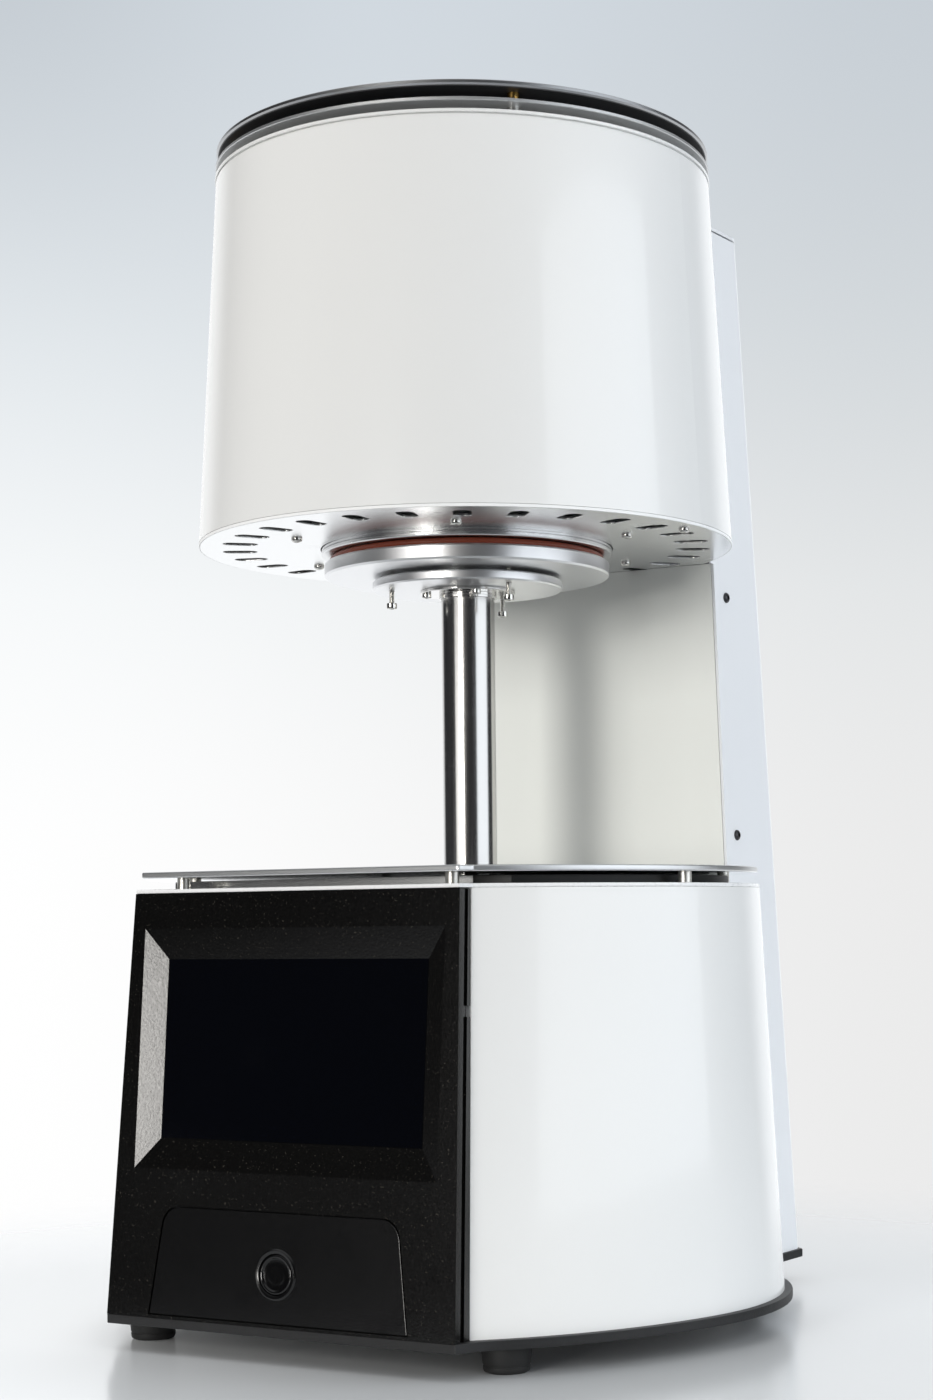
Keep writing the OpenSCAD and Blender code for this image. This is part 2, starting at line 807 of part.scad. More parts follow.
// Flanged brass nut inside the tube
module lift_nut() {
  color("#c79a45") on_axis() translate([0, 0, carriage_z + 0.5]) difference() {
    union() {
      cylinder(r = nut_r, h = 22);
      translate([0, 0, carriage_t - socket_t - 0.5]) cylinder(r = tube_bore - 0.4, h = 3.5);
    }
    translate([0, 0, -1]) cylinder(r = screw_r + run_gap, h = 24);
  }
}

// Guide rod from the bearing block to the guide housing
module guide_rod() {
  color("#b5b8bc") on_axis() translate([-rod_x, 0, base_top + 1]) cylinder(r = rod_r, h = cover_h - 2);
}

// Lead screw with its journal
module lead_screw() {
  color("#9fa2a7") on_axis() union() {
    translate([0, 0, bearing_z + rub]) cylinder(r = screw_r - 1, h = 9);
    translate([0, 0, bearing_top + rub]) cylinder(r = screw_r, h = carriage_z + 24 - bearing_top);
  }
}

// Ball bearing of the lead screw
module screw_bearing() {
  color("#8a8d92") on_axis() translate([0, 0, bearing_z]) rotate_extrude() polygon([
    [screw_r - 1 + run_gap, 0],
    [11, 0],
    [11, 7],
    [9.4, 7],
    [9.2, 6.6],
    [6.8, 6.6],
    [6.6, 7],
    [screw_r - 1 + run_gap, 7]
  ]);
}

// Block on the base plate for bearing and rod
module bearing_block() {
  color("#a5a8ad") on_axis() translate([0, 0, base_top]) difference() {
    translate([-rod_x - 9, -17, 0]) cube([rod_x + 26, 34, bearing_top - base_top]);
    translate([0, 0, bearing_z - base_top]) cylinder(r = 11 + close, h = 12);
    translate([-rod_x, 0, 1]) cylinder(r = rod_r + close, h = 12);
  }
}

// Outline of a toothed belt pulley
module pulley_teeth(teeth, r) {
  difference() {
    circle(r = r);
    for (i = [0:teeth - 1]) rotate(i * 360 / teeth) translate([r, 0]) circle(r = 0.62, $fn = 8);
  }
}

// A flanged pulley with teeth on its rim
module pulley(teeth, r, bore) {
  difference() {
    union() {
      translate([0, 0, 0.5]) linear_extrude(pulley_h - 1) pulley_teeth(teeth, r);
      cylinder(r = r + 1.6, h = 1);
      translate([0, 0, pulley_h - 1]) cylinder(r = r + 1.6, h = 1);
    }
    translate([0, 0, -1]) cylinder(r = bore, h = pulley_h + 2);
  }
}

// Pulley on the lead screw
module screw_pulley() {
  color("#b1b4b8") on_axis() translate([0, 0, pulley_z]) pulley(screw_teeth, screw_pulley_r, screw_r + 0.02);
}

// Pulley and shaft of the motor, turned as one piece
module motor_pulley() {
  color("#b1b4b8") on_axis() translate([motor_x, motor_y, pulley_z]) union() {
    pulley(motor_teeth, motor_pulley_r, 2);
    translate([0, 0, -0.5]) cylinder(r = 2.5, h = pulley_h + 22);
  }
}

// Outline of the belt at a distance from the pulleys
function belt_outline(d) = let (
  dir = atan2(motor_y, motor_x),
  a = belt_a()
) concat(
  arc(0, 0, screw_pulley_r + d, dir + a, dir + 360 - a, 32),
  arc(motor_x, motor_y, motor_pulley_r + d, dir - a, dir + a, 16)
);

// Drive belt round both pulleys
module drive_belt() {
  color("#222326") on_axis() translate([0, 0, belt_z]) difference() {
    linear_extrude(belt_w) polygon(belt_outline(rub + 1.5));
    translate([0, 0, -1]) linear_extrude(belt_w + 2) polygon(belt_outline(rub));
  }
}

// Stepper motor, shaft down
module lift_motor() {
  c = 4;
  h = motor_w / 2;
  color("#2b2d31") on_axis() translate([motor_x, motor_y, motor_z]) difference() {
    union() {
      for (z = [0, motor_h - 9]) translate([0, 0, z]) linear_extrude(9) polygon([
        [-h + c, -h], [h - c, -h], [h, -h + c], [h, h - c],
        [h - c, h], [-h + c, h], [-h, h - c], [-h, -h + c]
      ]);
      translate([0, 0, 8]) linear_extrude(motor_h - 16) polygon([
        [-h + 7, -h + 0.6], [h - 7, -h + 0.6], [h - 0.6, -h + 7], [h - 0.6, h - 7],
        [h - 7, h - 0.6], [-h + 7, h - 0.6], [-h + 0.6, h - 7], [-h + 0.6, -h + 7]
      ]);
      translate([0, 0, -2]) cylinder(r = 11, h = 3);
    }
    translate([0, 0, -3]) cylinder(r = 2.5 + run_gap, h = 24);
  }
}

// Bracket that carries the motor over the base plate
module motor_bracket() {
  h = motor_z - base_top;
  w = motor_w / 2 + 4;
  color("#b8bbbf") on_axis() translate([motor_x, motor_y, base_top]) difference() {
    union() {
      translate([-motor_w / 2, -w, h - 3]) cube([motor_w, 2 * w, 3]);
      for (s = [-1, 1]) {
        translate([4, s * (w - 1.5) - 1.5, 0]) cube([motor_w / 2 - 4, 3, h]);
        translate([4, s * (w + 4) - 7, 0]) cube([motor_w / 2 - 4, 14, 2.5]);
      }
    }
    translate([0, 0, h - 4]) cylinder(r = 11 + close, h = 5);
  }
}

// Two snap switches that stop the lift
module limit_switches() {
  color("#7a1f1f") on_axis() {
    translate([-10, housing_r + close, deck_z - housing_h + 4]) union() {
      cube([20, 6.4, 10]);
      translate([1, 2.2, -1.6]) cube([18, 2, 1.2]);
      translate([1, 2.2, -1.6]) cube([2, 2, 2]);
    }
    translate([-rod_x + 2, 8, bearing_top]) union() {
      cube([16, 6.4, 8]);
      translate([1, 2.2, 9]) cube([14, 2, 1.2]);
      translate([1, 2.2, 7.8]) cube([2, 2, 2]);
    }
  }
}

// Switched power supply with a pierced cover
module power_supply() {
  color("#9da0a4") on_axis() translate([supply_x - supply_w / 2, -70, base_top]) difference() {
    union() {
      cube([supply_w, supply_l, 3]);
      translate([0, 0, 2]) cube([supply_w, supply_cover_l, supply_h]);
      translate([3, supply_cover_l, 3]) cube([supply_w - 6, 12, 12]);
    }
    translate([2, 2, 3.2]) cube([supply_w - 4, supply_cover_l - 4, supply_h - 3]);
    for (x = [9:8:supply_w - 9], y = [12:9:supply_cover_l - 12])
      translate([x, y, supply_h - 4]) cylinder(r = 2.4, h = 8, $fn = 12);
    for (i = [0:5]) translate([-1, 10 + 14 * i, 20]) cube([supply_w + 2, 5, supply_h - 34]);
  }
}

// Welded frame of the column: two channels, cross bars and a top plate
module column_frame() {
  w = upright_w;
  y0 = column_y + 26;
  color("#8f9297") on_axis() difference() {
    union() {
      for (s = [-1, 1]) {
        translate([s * upright_x - w / 2, y0, base_top]) cube([w, w, column_h - 2.5]);
        translate([s * upright_x - w / 2 - 6, y0 - 6, base_top]) cube([w + 12, w + 12, 4]);
      }
      for (z = [base_top + 160, head_z + 60]) {
        translate([-upright_x, y0 + w - 3, z]) cube([2 * upright_x, 3, bar_h]);
      }
      translate([-upright_x - w / 2, y0, column_top - 5.5]) cube([2 * upright_x + w, w, 3]);
    }
    for (s = [-1, 1]) {
      translate([s * upright_x - w / 2 + 2, y0 + 2, base_top + 4]) cube([w - 4, w + 2, column_h - 12]);
    }
  }
}

// Ring and two arms that carry the heating head on the column
module head_frame() {
  y0 = column_y + 26;
  color("#a3a6aa") on_axis() difference() {
    union() {
      translate([0, 0, ring_z]) cylinder(r = frame_ring_r, h = ring_t);
      for (s = [-1, 1]) {
        translate([s * upright_x - 8, 60, ring_z]) cube([16, y0 - 60, ring_t]);
        translate([s * upright_x - 8, y0 - 4, ring_z]) cube([16, 4, 46]);
        side_prism([
          [y0 - 3, ring_z + 2],
          [y0 - 3, ring_z + 30],
          [y0 - 12, ring_z + 2]
        ], s * upright_x - 1.5, s * upright_x + 1.5);
      }
    }
    translate([0, 0, ring_z - 1]) cylinder(r = flange_r + 1.5, h = ring_t + 2);
    for (a = [0:60:300]) rotate(a) translate([97, 0, ring_z - 1]) cylinder(r = 1.8, h = ring_t + 2);
  }
}

// Flat front panel of the column with folded edges
module column_panel() {
  z0 = deck_top;
  z1 = head_z - close;
  w0 = column_w(z0) - column_wall - rub;
  w1 = column_w(z1) - column_wall - rub;
  t = column_wall;
  color("#e9eae6") on_axis() difference() {
    front_prism([[-w0, z0], [w0, z0], [w1, z1], [-w1, z1]], column_y, column_y + 22);
    front_prism([[t - w0, z0 - 1], [w0 - t, z0 - 1], [w1 - t, z1 + 1], [t - w1, z1 + 1]], column_y + t, column_y + 23);
    for (z = [screw_lo, screw_hi]) translate([-200, column_y + 13, z]) rotate([0, 90, 0]) cylinder(r = 1.7, h = 400);
  }
}

// Folded sheet cover: both sides and the rear of the column
module column_cover() {
  color("#eef1f6") on_axis() difference() {
    column_block(0, column_y - 18, base_top, column_top);
    column_block(-column_wall, column_y - 40, base_top - 1, column_top + 1);
    translate([-150, 0, deck_z - 0.5]) cube([300, column_y, head_z - deck_z]);
    translate([0, 0, head_z - 1]) cylinder(r1 = head_at(head_z - 1) + 0.8, r2 = head_at(column_top + 1) + 0.8, h = column_top + 2 - head_z);
    for (z = [screw_lo, screw_hi]) translate([-200, column_y + 13, z]) rotate([0, 90, 0]) cylinder(r = 2.1, h = 400);
    for (i = [0:7]) {
      translate([-34, column_y + 20, head_z + 70 + i * 9]) cube([68, 90, 3.4]);
      translate([-34, column_y + 20, base_top + 150 + i * 9]) cube([68, 90, 3.4]);
    }
    translate([inlet_x - 14, column_y + 20, base_top + inlet_up - 11]) cube([28, 90, 22]);
    translate([-inlet_x - 10.6, column_y + 20, base_top + inlet_up - 7.6]) cube([21.2, 90, 15.2]);
    translate([0, column_y + 20, base_top + port_up]) rotate([-90, 0, 0]) cylinder(r = 6.1, h = 90);
  }
}

// Thin lid of the column
module column_cap() {
  color("#f1f3f7") on_axis() difference() {
    translate([0, 0, column_top + 1]) linear_extrude(2) polygon(both(concat(
      [[column_top_w, column_y - 12]],
      arc(column_top_w - 9, column_top_y - 9, 9, 0, 90, 6)
    )));
    translate([0, 0, column_top]) cylinder(r = head_at(column_top) + 0.8, h = 4);
  }
  color("#f1f3f7") on_axis() difference() {
    translate([-upright_x - 6, column_y + 28, column_top - 2.5]) cube([2 * upright_x + 12, 12, 3.5]);
    translate([-upright_x + 6, column_y + 27, column_top - 3]) cube([2 * upright_x - 12, 14, 3]);
  }
}

// Button-head screws in both sides of the column
module column_screws() {
  tilt = atan((column_low_w - column_top_w) / column_h);
  color("#2c2d30") on_axis() {
    for (z = [screw_lo, screw_hi], s = [-1, 1]) {
      translate([s * (column_w(z) + close), column_y + 13, z]) rotate([0, s * (90 - tilt), 0]) difference() {
        rotate_extrude() polygon([
          [0, -8],
          [1.5, -8],
          [1.5, 0],
          [2.9, 0],
          [2.9, 0.6],
          [2.2, 1.4],
          [1.2, 1.7],
          [0, 1.7]
        ]);
        translate([0, 0, 0.7]) cylinder(r = 1.15, h = 2, $fn = 6);
      }
    }
  }
}

// Tapered shell of the heating head, notched behind for the arms
module head_shell() {
  z0 = ring_z + 0.1;
  color("#f3f3f4") on_axis() difference() {
    union() {
      translate([0, 0, z0]) cylinder(r1 = head_at(z0), r2 = head_at(shell_top), h = shell_top - z0);
    }
    translate([0, 0, z0 - 1]) cylinder(r1 = head_at(z0 - 1) - head_wall, r2 = head_at(shell_top + 1) - head_wall, h = shell_top - z0 + 2);
    for (s = [-1, 1]) translate([s * upright_x - 9, 60, z0 - 1]) cube([18, 90, ring_t + 2]);
    translate([0, 60, port_z]) rotate([-90, 0, 0]) cylinder(r = hose_r + 1.5, h = 90);
  }
  color("#f3f3f4") on_axis() difference() {
    translate([124, -7, z0]) cube([head_at(z0) - head_wall / 2 - 124.6, 14, 1.5]);
    translate([130, 0, z0 - 1]) cylinder(r = 1.7, h = 4);
  }
}

// Lipped cover of the heating head
module head_cover() {
  r = head_at(shell_top) + 0.4;
  color("#f4f4f5") on_axis() difference() {
    union() {
      translate([0, 0, cover_z]) eased_disc(r, top_lip, 0.3);
      translate([0, 0, cover_z - 9]) ring(r - head_wall - 0.7, r - head_wall - 1.9, 9.2);
    }
    for (a = [0:30:330]) rotate(a) translate([40, -2, cover_z - 1]) cube([40, 4, top_lip + 2]);
  }
}

// Thin plate above the cover
module vent_plate() {
  color("#c8cacc") on_axis() translate([0, 0, vent_z]) difference() {
    eased_disc(head_at(shell_top) + 0.1, vent_t, 0.3);
    for (a = [15:30:345]) rotate(a) translate([50, -2, -1]) cube([36, 4, vent_t + 2]);
  }
}

// Top plate for drying and preheating
module heat_plate() {
  r = head_at(shell_top) - 0.5;
  color("#9a9da1") on_axis() translate([0, 0, heat_z]) rotate_extrude() polygon([
    [0, 0],
    [r - 1.2, 0],
    [r, 1.2],
    [r, heat_t - 0.4],
    [r - 0.4, heat_t],
    [0, heat_t]
  ]);
}

// Brass spacers under the top plate
module brass_spacers() {
  color("#c2954a") on_axis() {
    for (a = [45:90:315]) rotate(a) translate([spacer_ring_r, 0, vent_z + vent_t]) cylinder(r = 3, h = brass_h - tip);
  }
}

// Nickel spacers between cover and thin plate
module nickel_spacers() {
  color("#d5d6d8") on_axis() {
    for (a = [45:90:315]) rotate(a) translate([spacer_ring_r, 0, cover_z + top_lip]) cylinder(r = 3.4, h = nickel_h - tip);
  }
}

// Bottom plate with its ring of radial slots
module bottom_plate() {
  color("#dcdee0") on_axis() translate([0, 0, head_z]) difference() {
    cylinder(r = head_r - 0.1, h = bottom_t);
    translate([0, 0, -1]) cylinder(r = flange_r + 0.5, h = bottom_t + 2);
    for (i = [0:slot_count - 1]) rotate(-90 + (i + 0.5) * 360 / slot_count) translate([slot_ring_r, 0, -1])
      linear_extrude(bottom_t + 2) union() {
        square([slot_l - slot_w, slot_w], center = true);
        for (s = [-1, 1]) translate([s * (slot_l - slot_w) / 2, 0]) circle(r = slot_w / 2);
      }
    for (a = [0:60:300]) rotate(a) translate([97, 0, -1]) cylinder(r = 1.8, h = bottom_t + 2);
    translate([130, 0, -1]) cylinder(r = 1.8, h = bottom_t + 2);
  }
}

// Pan-head screws in the bottom plate
module bottom_screws() {
  places = concat([for (a = [0:60:300]) [97 * cos(a), 97 * sin(a)]], [[130, 0]]);
  color("#c7c9cc") on_axis() {
    for (p = places) translate([p[0], p[1], head_z]) difference() {
      rotate_extrude() polygon([
        [0, -2.2],
        [1.9, -2.2],
        [2.6, -1.6],
        [2.8, -0.6],
        [2.8, -0.02],
        [1.5, -0.02],
        [1.5, 4.6],
        [0, 4.6]
      ]);
      translate([0, 0, -2.3]) cylinder(r = 1.1, h = 1.2, $fn = 6);
    }
  }
}

// Polished flange that the platform seals against
module chamber_flange() {
  color("#d2d4d7") on_axis() rotate_extrude() polygon([
      [mouth_r, flange_low],
      [flange_r - 0.5, flange_low],
      [flange_r, flange_low + 0.5],
      [flange_r, flange_low + 1.7],
      [flange_r - 0.8, flange_low + 1.9],
      [flange_r - 0.8, flange_low + 2.1],
      [flange_r, flange_low + 2.3],
      [flange_r, ring_z + ring_t],
      [95, ring_z + ring_t],
      [95, flange_top],
      [mouth_r, flange_top]
    ]);
}

// Sealed metal pot over the insulation
module vacuum_pot() {
  color("#b7babd") on_axis() difference() {
    union() {
      translate([0, 0, flange_top]) cylinder(r = pot_r, h = pot_h);
      translate([0, 0, flange_top]) cylinder(r = pot_r + 7, h = 3);
      translate([0, 0, port_z]) rotate([-90, 0, 0]) cylinder(r = spigot_r, h = pot_r + 14);
    }
    translate([0, 0, flange_top - 1]) cylinder(r = pot_r - pot_wall, h = pot_h + 1 - pot_wall);
    translate([0, 0, port_z]) rotate([-90, 0, 0]) cylinder(r = spigot_r - 1.5, h = pot_r + 16);
    translate([0, 0, flange_top + pot_h - 10]) cylinder(r = post_r + close, h = 12);
    for (s = [-1, 1]) translate([s * coil_r, 0, flange_top + pot_h - 10]) cylinder(r = lead_r + rub, h = 12);
  }
}

// Ceramic fibre hood round the chamber
module fibre_hood() {
  color("#f6f3ea") on_axis() difference() {
    translate([0, 0, flange_top]) cylinder(r = pot_r - pot_wall - 0.6, h = pot_h - pot_wall - 8);
    translate([0, 0, flange_top - 1]) cylinder(r = hood_r, h = chamber_h + 1);
    translate([0, 0, flange_top + chamber_h - 1]) cylinder(r = post_r + 0.4, h = pot_h);
    for (s = [-1, 1]) translate([s * coil_r, 0, flange_top + chamber_h - 1]) cylinder(r = lead_r + rub, h = pot_h);
  }
}

// Heating coil round the chamber, with both leads going up through the hood
module heating_coil() {
  pitch = (chamber_h - 14) / coil_turns;
  top = flange_top + pot_h + 10;
  color("#9b8f84") on_axis() union() {
    for (i = [0:coil_turns]) translate([0, 0, flange_top + 8 + i * pitch]) rotate_extrude($fn = 64)
      translate([coil_r, 0]) circle(r = coil_wire, $fn = 16);
    for (s = [-1, 1]) translate([s * coil_r, 0, flange_top + 8]) cylinder(r = lead_r, h = top - flange_top - 8);
  }
}

// Thermocouple in its ceramic sheath
module thermocouple() {
  top = flange_top + pot_h;
  color("#d8cdb8") on_axis() union() {
    translate([0, 0, chamber_top - 12]) cylinder(r = post_r, h = top - chamber_top + 14);
    translate([0, 0, top + 0.02]) cylinder(r = 8, h = 9);
    translate([0, 0, top + 9]) cylinder(r = 4.5, h = 5);
  }
}

// Appliance inlet in the rear of the column
module power_inlet() {
  z = base_top + inlet_up;
  color("#1a1b1d") on_axis() translate([inlet_x, column_back(z), z]) difference() {
    union() {
      rotate([rear_lean, 0, 0]) translate([-16, 0.1, -13]) cube([32, 2.4, 26]);
      translate([-13.5, -16, -10.5]) cube([27, 17, 21]);
    }
    translate([-11.5, -13, -8.5]) cube([23, 20, 17]);
  }
  color("#c8b27a") on_axis() translate([inlet_x, column_back(z), z]) {
    for (p = [[-6.5, -2], [0, 2], [6.5, -2]]) translate([p[0] - 1, -13.02, p[1] - 2]) cube([2, 10, 4]);
  }
}

// Snap-in frame of the mains switch
module switch_frame() {
  z = base_top + inlet_up;
  color("#1b1c1e") on_axis() translate([-inlet_x, column_back(z), z]) rotate([rear_lean, 0, 0]) difference() {
    union() {
      translate([-12, 0.1, -9.4]) cube([24, 1.4, 18.8]);
      translate([-10.3, -14, -7.3]) cube([20.6, 14.5, 14.6]);
      for (x = [-5, 4]) translate([x, -20, -3]) cube([1, 7, 6]);
    }
    translate([-8.8, -9, -6.2]) cube([17.6, 12, 12.4]);
    translate([-9.9, -rocker_y, 0]) rotate([0, 90, 0]) cylinder(r = 1 + run_gap, h = 19.8);
  }
}

// Mains rocker, pressed to off
module main_switch() {
  z = base_top + inlet_up;
  color("#26272a") on_axis() translate([-inlet_x, column_back(z), z]) rotate([rear_lean, 0, 0])
    translate([0, -rocker_y, 0]) rotate([-rocker_tilt, 0, 0]) union() {
      side_prism([[-3, -2], [0.6, -4.6], [4.8, -4.9], [3.8, 0], [4.8, 4.9], [0.6, 4.6], [-3, 2]], -8.4, 8.4);
      translate([-9.6, 0, 0]) rotate([0, 90, 0]) cylinder(r = 1, h = 19.2);
    }
}

// Fitting for the vacuum pump, with a spigot on each side of the cover
module vacuum_port() {
  z = base_top + port_up;
  color("#bfa15a") on_axis() translate([0, column_back(z), z]) rotate([-90, 0, 0]) difference() {
    union() {
      translate([0, 0, 0.6]) cylinder(r = 9, h = 3, $fn = 6);
      translate([0, 0, -8]) cylinder(r = 6, h = 9);
      translate([0, 0, 3]) cylinder(r = port_r, h = 8);
      translate([0, 0, -14]) cylinder(r = spigot_r, h = 7);
    }
    translate([0, 0, -15]) cylinder(r = port_r - 1.5, h = 27);
  }
}

// Way of the vacuum hose: rearward, height and heading at each ring
hose_low = base_top + port_up;
hose_end = column_back(hose_low) - 8 - close;
hose_drop = hose_end - 6 - hose_bend;
hose_way = concat(
  [[pot_r + 3, port_z, 0]],
  [for (i = [0:6]) let (a = 15 * i) [
    hose_drop - hose_bend + hose_bend * sin(a), port_z - hose_bend + hose_bend * cos(a), -a
  ]],
  [for (i = [6:-1:0]) let (a = 15 * i) [
    hose_drop + hose_bend - hose_bend * sin(a), hose_low + hose_bend - hose_bend * cos(a), -a
  ]],
  [[hose_end, hose_low, 0]]
);

// Vacuum hose from the pot down the column to the port
module vacuum_hose() {
  n = 24;
  rings = len(hose_way);
  color("#3b2f2a") on_axis() difference() {
    polyhedron(
      [for (p = hose_way, k = [0:n - 1]) let (c = 360 * k / n) [
        hose_r * cos(c), p[0] - hose_r * sin(c) * sin(p[2]), p[1] + hose_r * sin(c) * cos(p[2])
      ]],
      concat(
        [[for (k = [0:n - 1]) k]],
        [for (i = [0:rings - 2], k = [0:n - 1]) [
          i * n + k, (i + 1) * n + k, (i + 1) * n + (k + 1) % n, i * n + (k + 1) % n
        ]],
        [[for (k = [n - 1:-1:0]) (rings - 1) * n + k]]
      )
    );
    translate([0, pot_r + 2, port_z]) rotate([-90, 0, 0]) cylinder(r = spigot_r + close, h = 13);
    translate([0, hose_end - 6.5, hose_low]) rotate([-90, 0, 0]) cylinder(r = spigot_r + close, h = 8);
  }
}

base_plate();
rubber_feet();
base_cover();
base_deck();
front_fascia();
switch_panel();
touch_screen();
control_board();
power_button();
button_housing();
table_plate();
table_standoffs();
deck_riser();
guide_housing();
guide_bushes();
lift_tube();
tube_collar();
lower_disc();
platform_disc();
seal_ring();
platform_screws();
firing_pedestal();
firing_tray();
nut_carriage();
lift_nut();
guide_rod();
lead_screw();
screw_bearing();
bearing_block();
screw_pulley();
drive_belt();
motor_pulley();
lift_motor();
motor_bracket();
limit_switches();
power_supply();
column_frame();
head_frame();
column_panel();
column_cover();
column_cap();
column_screws();
head_shell();
head_cover();
vent_plate();
heat_plate();
brass_spacers();
nickel_spacers();
bottom_plate();
bottom_screws();
chamber_flange();
vacuum_pot();
fibre_hood();
heating_coil();
thermocouple();
power_inlet();
switch_frame();
main_switch();
vacuum_port();
vacuum_hose();
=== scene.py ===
import json
import math
import bmesh
import bpy
from mathutils import Matrix, Vector

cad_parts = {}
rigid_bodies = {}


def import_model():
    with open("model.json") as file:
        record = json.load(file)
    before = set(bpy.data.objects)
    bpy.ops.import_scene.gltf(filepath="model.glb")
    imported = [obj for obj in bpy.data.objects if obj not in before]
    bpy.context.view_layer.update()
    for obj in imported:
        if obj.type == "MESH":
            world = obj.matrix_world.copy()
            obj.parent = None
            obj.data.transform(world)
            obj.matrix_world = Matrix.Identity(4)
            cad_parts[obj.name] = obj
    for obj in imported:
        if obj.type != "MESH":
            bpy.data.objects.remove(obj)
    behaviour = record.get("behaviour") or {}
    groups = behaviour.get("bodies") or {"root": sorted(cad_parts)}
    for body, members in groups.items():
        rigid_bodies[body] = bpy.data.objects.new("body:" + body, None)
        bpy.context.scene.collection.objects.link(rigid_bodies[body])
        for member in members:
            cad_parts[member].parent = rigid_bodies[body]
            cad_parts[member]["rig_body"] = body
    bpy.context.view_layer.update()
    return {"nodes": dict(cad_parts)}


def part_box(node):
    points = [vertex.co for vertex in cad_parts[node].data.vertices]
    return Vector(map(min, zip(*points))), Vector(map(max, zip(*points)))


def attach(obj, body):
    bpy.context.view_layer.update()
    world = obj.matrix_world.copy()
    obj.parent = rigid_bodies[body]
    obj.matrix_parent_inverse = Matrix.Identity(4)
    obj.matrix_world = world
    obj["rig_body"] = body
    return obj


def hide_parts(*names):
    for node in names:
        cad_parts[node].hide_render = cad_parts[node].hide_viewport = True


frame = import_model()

nodes = frame["nodes"]
mm = 0.001
axisY = -8.2 * mm  # the lift axis lies this far in front of the middle of the footprint
frontY, plateTop, frontSlope = -178.8 * mm, 17.5 * mm, 16.1 / 203  # foot of the leaning front, and its lean
print("frame loaded:", len(nodes), "nodes")


# Making and shaping meshes

def clearAll():
    if bpy.context.object and bpy.context.object.mode != "OBJECT":
        bpy.ops.object.mode_set(mode="OBJECT")
    bpy.ops.object.select_all(action="DESELECT")


def focus(piece):
    clearAll()
    piece.select_set(True)
    bpy.context.view_layer.objects.active = piece
    return piece


def primitive(kind, name, **settings):
    clearAll()
    getattr(bpy.ops.mesh, "primitive_" + kind + "_add")(**settings)
    piece = bpy.context.object
    piece.name = name
    piece.data.name = name
    return piece


def pickFaces(piece, test):
    if piece.mode != "EDIT":
        focus(piece)
        bpy.ops.object.mode_set(mode="EDIT")
    bpy.ops.mesh.select_mode(type="FACE")
    bpy.ops.mesh.select_all(action="DESELECT")
    mesh = bmesh.from_edit_mesh(piece.data)
    for face in mesh.faces:
        face.select_set(bool(test(face.calc_center_median(), face.normal)))
    bmesh.update_edit_mesh(piece.data)


def pickAll(piece):
    focus(piece)
    bpy.ops.object.mode_set(mode="EDIT")
    bpy.ops.mesh.select_mode(type="VERT")
    bpy.ops.mesh.select_all(action="SELECT")


def extrude(x=0, y=0, z=0):
    bpy.ops.mesh.extrude_region_move(TRANSFORM_OT_translate={"value": (x, y, z)})


def inset(width, depth=0):
    bpy.ops.mesh.inset(thickness=width, depth=depth)


def modify(piece, kind, **settings):
    focus(piece)
    step = piece.modifiers.new(kind.lower(), kind)
    for key, value in settings.items():
        setattr(step, key, value)
    bpy.ops.object.modifier_apply(modifier=step.name)


def closeUp(piece):  # merges doubles and turns the faces outwards
    pickAll(piece)
    bpy.ops.mesh.remove_doubles(threshold=0.000004)
    bpy.ops.mesh.normals_make_consistent(inside=False)
    bpy.ops.object.mode_set(mode="OBJECT")


def smooth(piece, angle=30):
    focus(piece)
    bpy.ops.object.shade_smooth_by_angle(angle=math.radians(angle))


def place(piece, matrix):  # moves the mesh itself, so the object stays at the origin
    piece.data.transform(piece.matrix_basis)
    piece.matrix_basis = Matrix.Identity(4)
    piece.data.transform(matrix)
    return piece


def shift(x, y, z):  # a move in mm
    return Matrix.Translation((x * mm, y * mm, z * mm))


def spin(angle, axis="Z"):
    return Matrix.Rotation(angle, 4, axis)


def copyTo(piece, name, matrix):
    twin = bpy.data.objects.new(name, piece.data.copy())
    bpy.context.scene.collection.objects.link(twin)
    twin.data.transform(matrix)
    return twin


def discard(piece):
    bpy.data.objects.remove(piece, do_unlink=True)


def joined(name, pieces):
    clearAll()
    for piece in pieces:
        piece.select_set(True)
    bpy.context.view_layer.objects.active = pieces[0]
    bpy.ops.object.join()
    pieces[0].name = name
    pieces[0].data.name = name
    return pieces[0]


def easedCopy(nodeName, width, angle=30, segments=2):  # a copy of a node with its edges rounded
    words = nodeName.split("_")
    name = words[0] + "".join(w.capitalize() for w in words[1:])
    piece = bpy.data.objects.new(name, nodes[nodeName].data.copy())
    piece.data.name = name
    bpy.context.scene.collection.objects.link(piece)
    focus(piece)
    bpy.ops.mesh.customdata_custom_splitnormals_clear()
    bpy.ops.object.mode_set(mode="EDIT")
    bpy.ops.mesh.select_all(action="SELECT")
    bpy.ops.mesh.remove_doubles(threshold=0.000002)
    bpy.ops.mesh.dissolve_limited(angle_limit=math.radians(0.4))
    bpy.ops.object.mode_set(mode="OBJECT")
    modify(piece, "BEVEL", width=width * mm, segments=segments, limit_method="ANGLE",
           angle_limit=math.radians(angle), use_clamp_overlap=True)
    smooth(piece, angle)
    modify(piece, "WEIGHTED_NORMAL", keep_sharp=True, weight=80)
    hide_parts(nodeName)
    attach(piece, nodes[nodeName]["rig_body"])
    return piece


# Shader maths

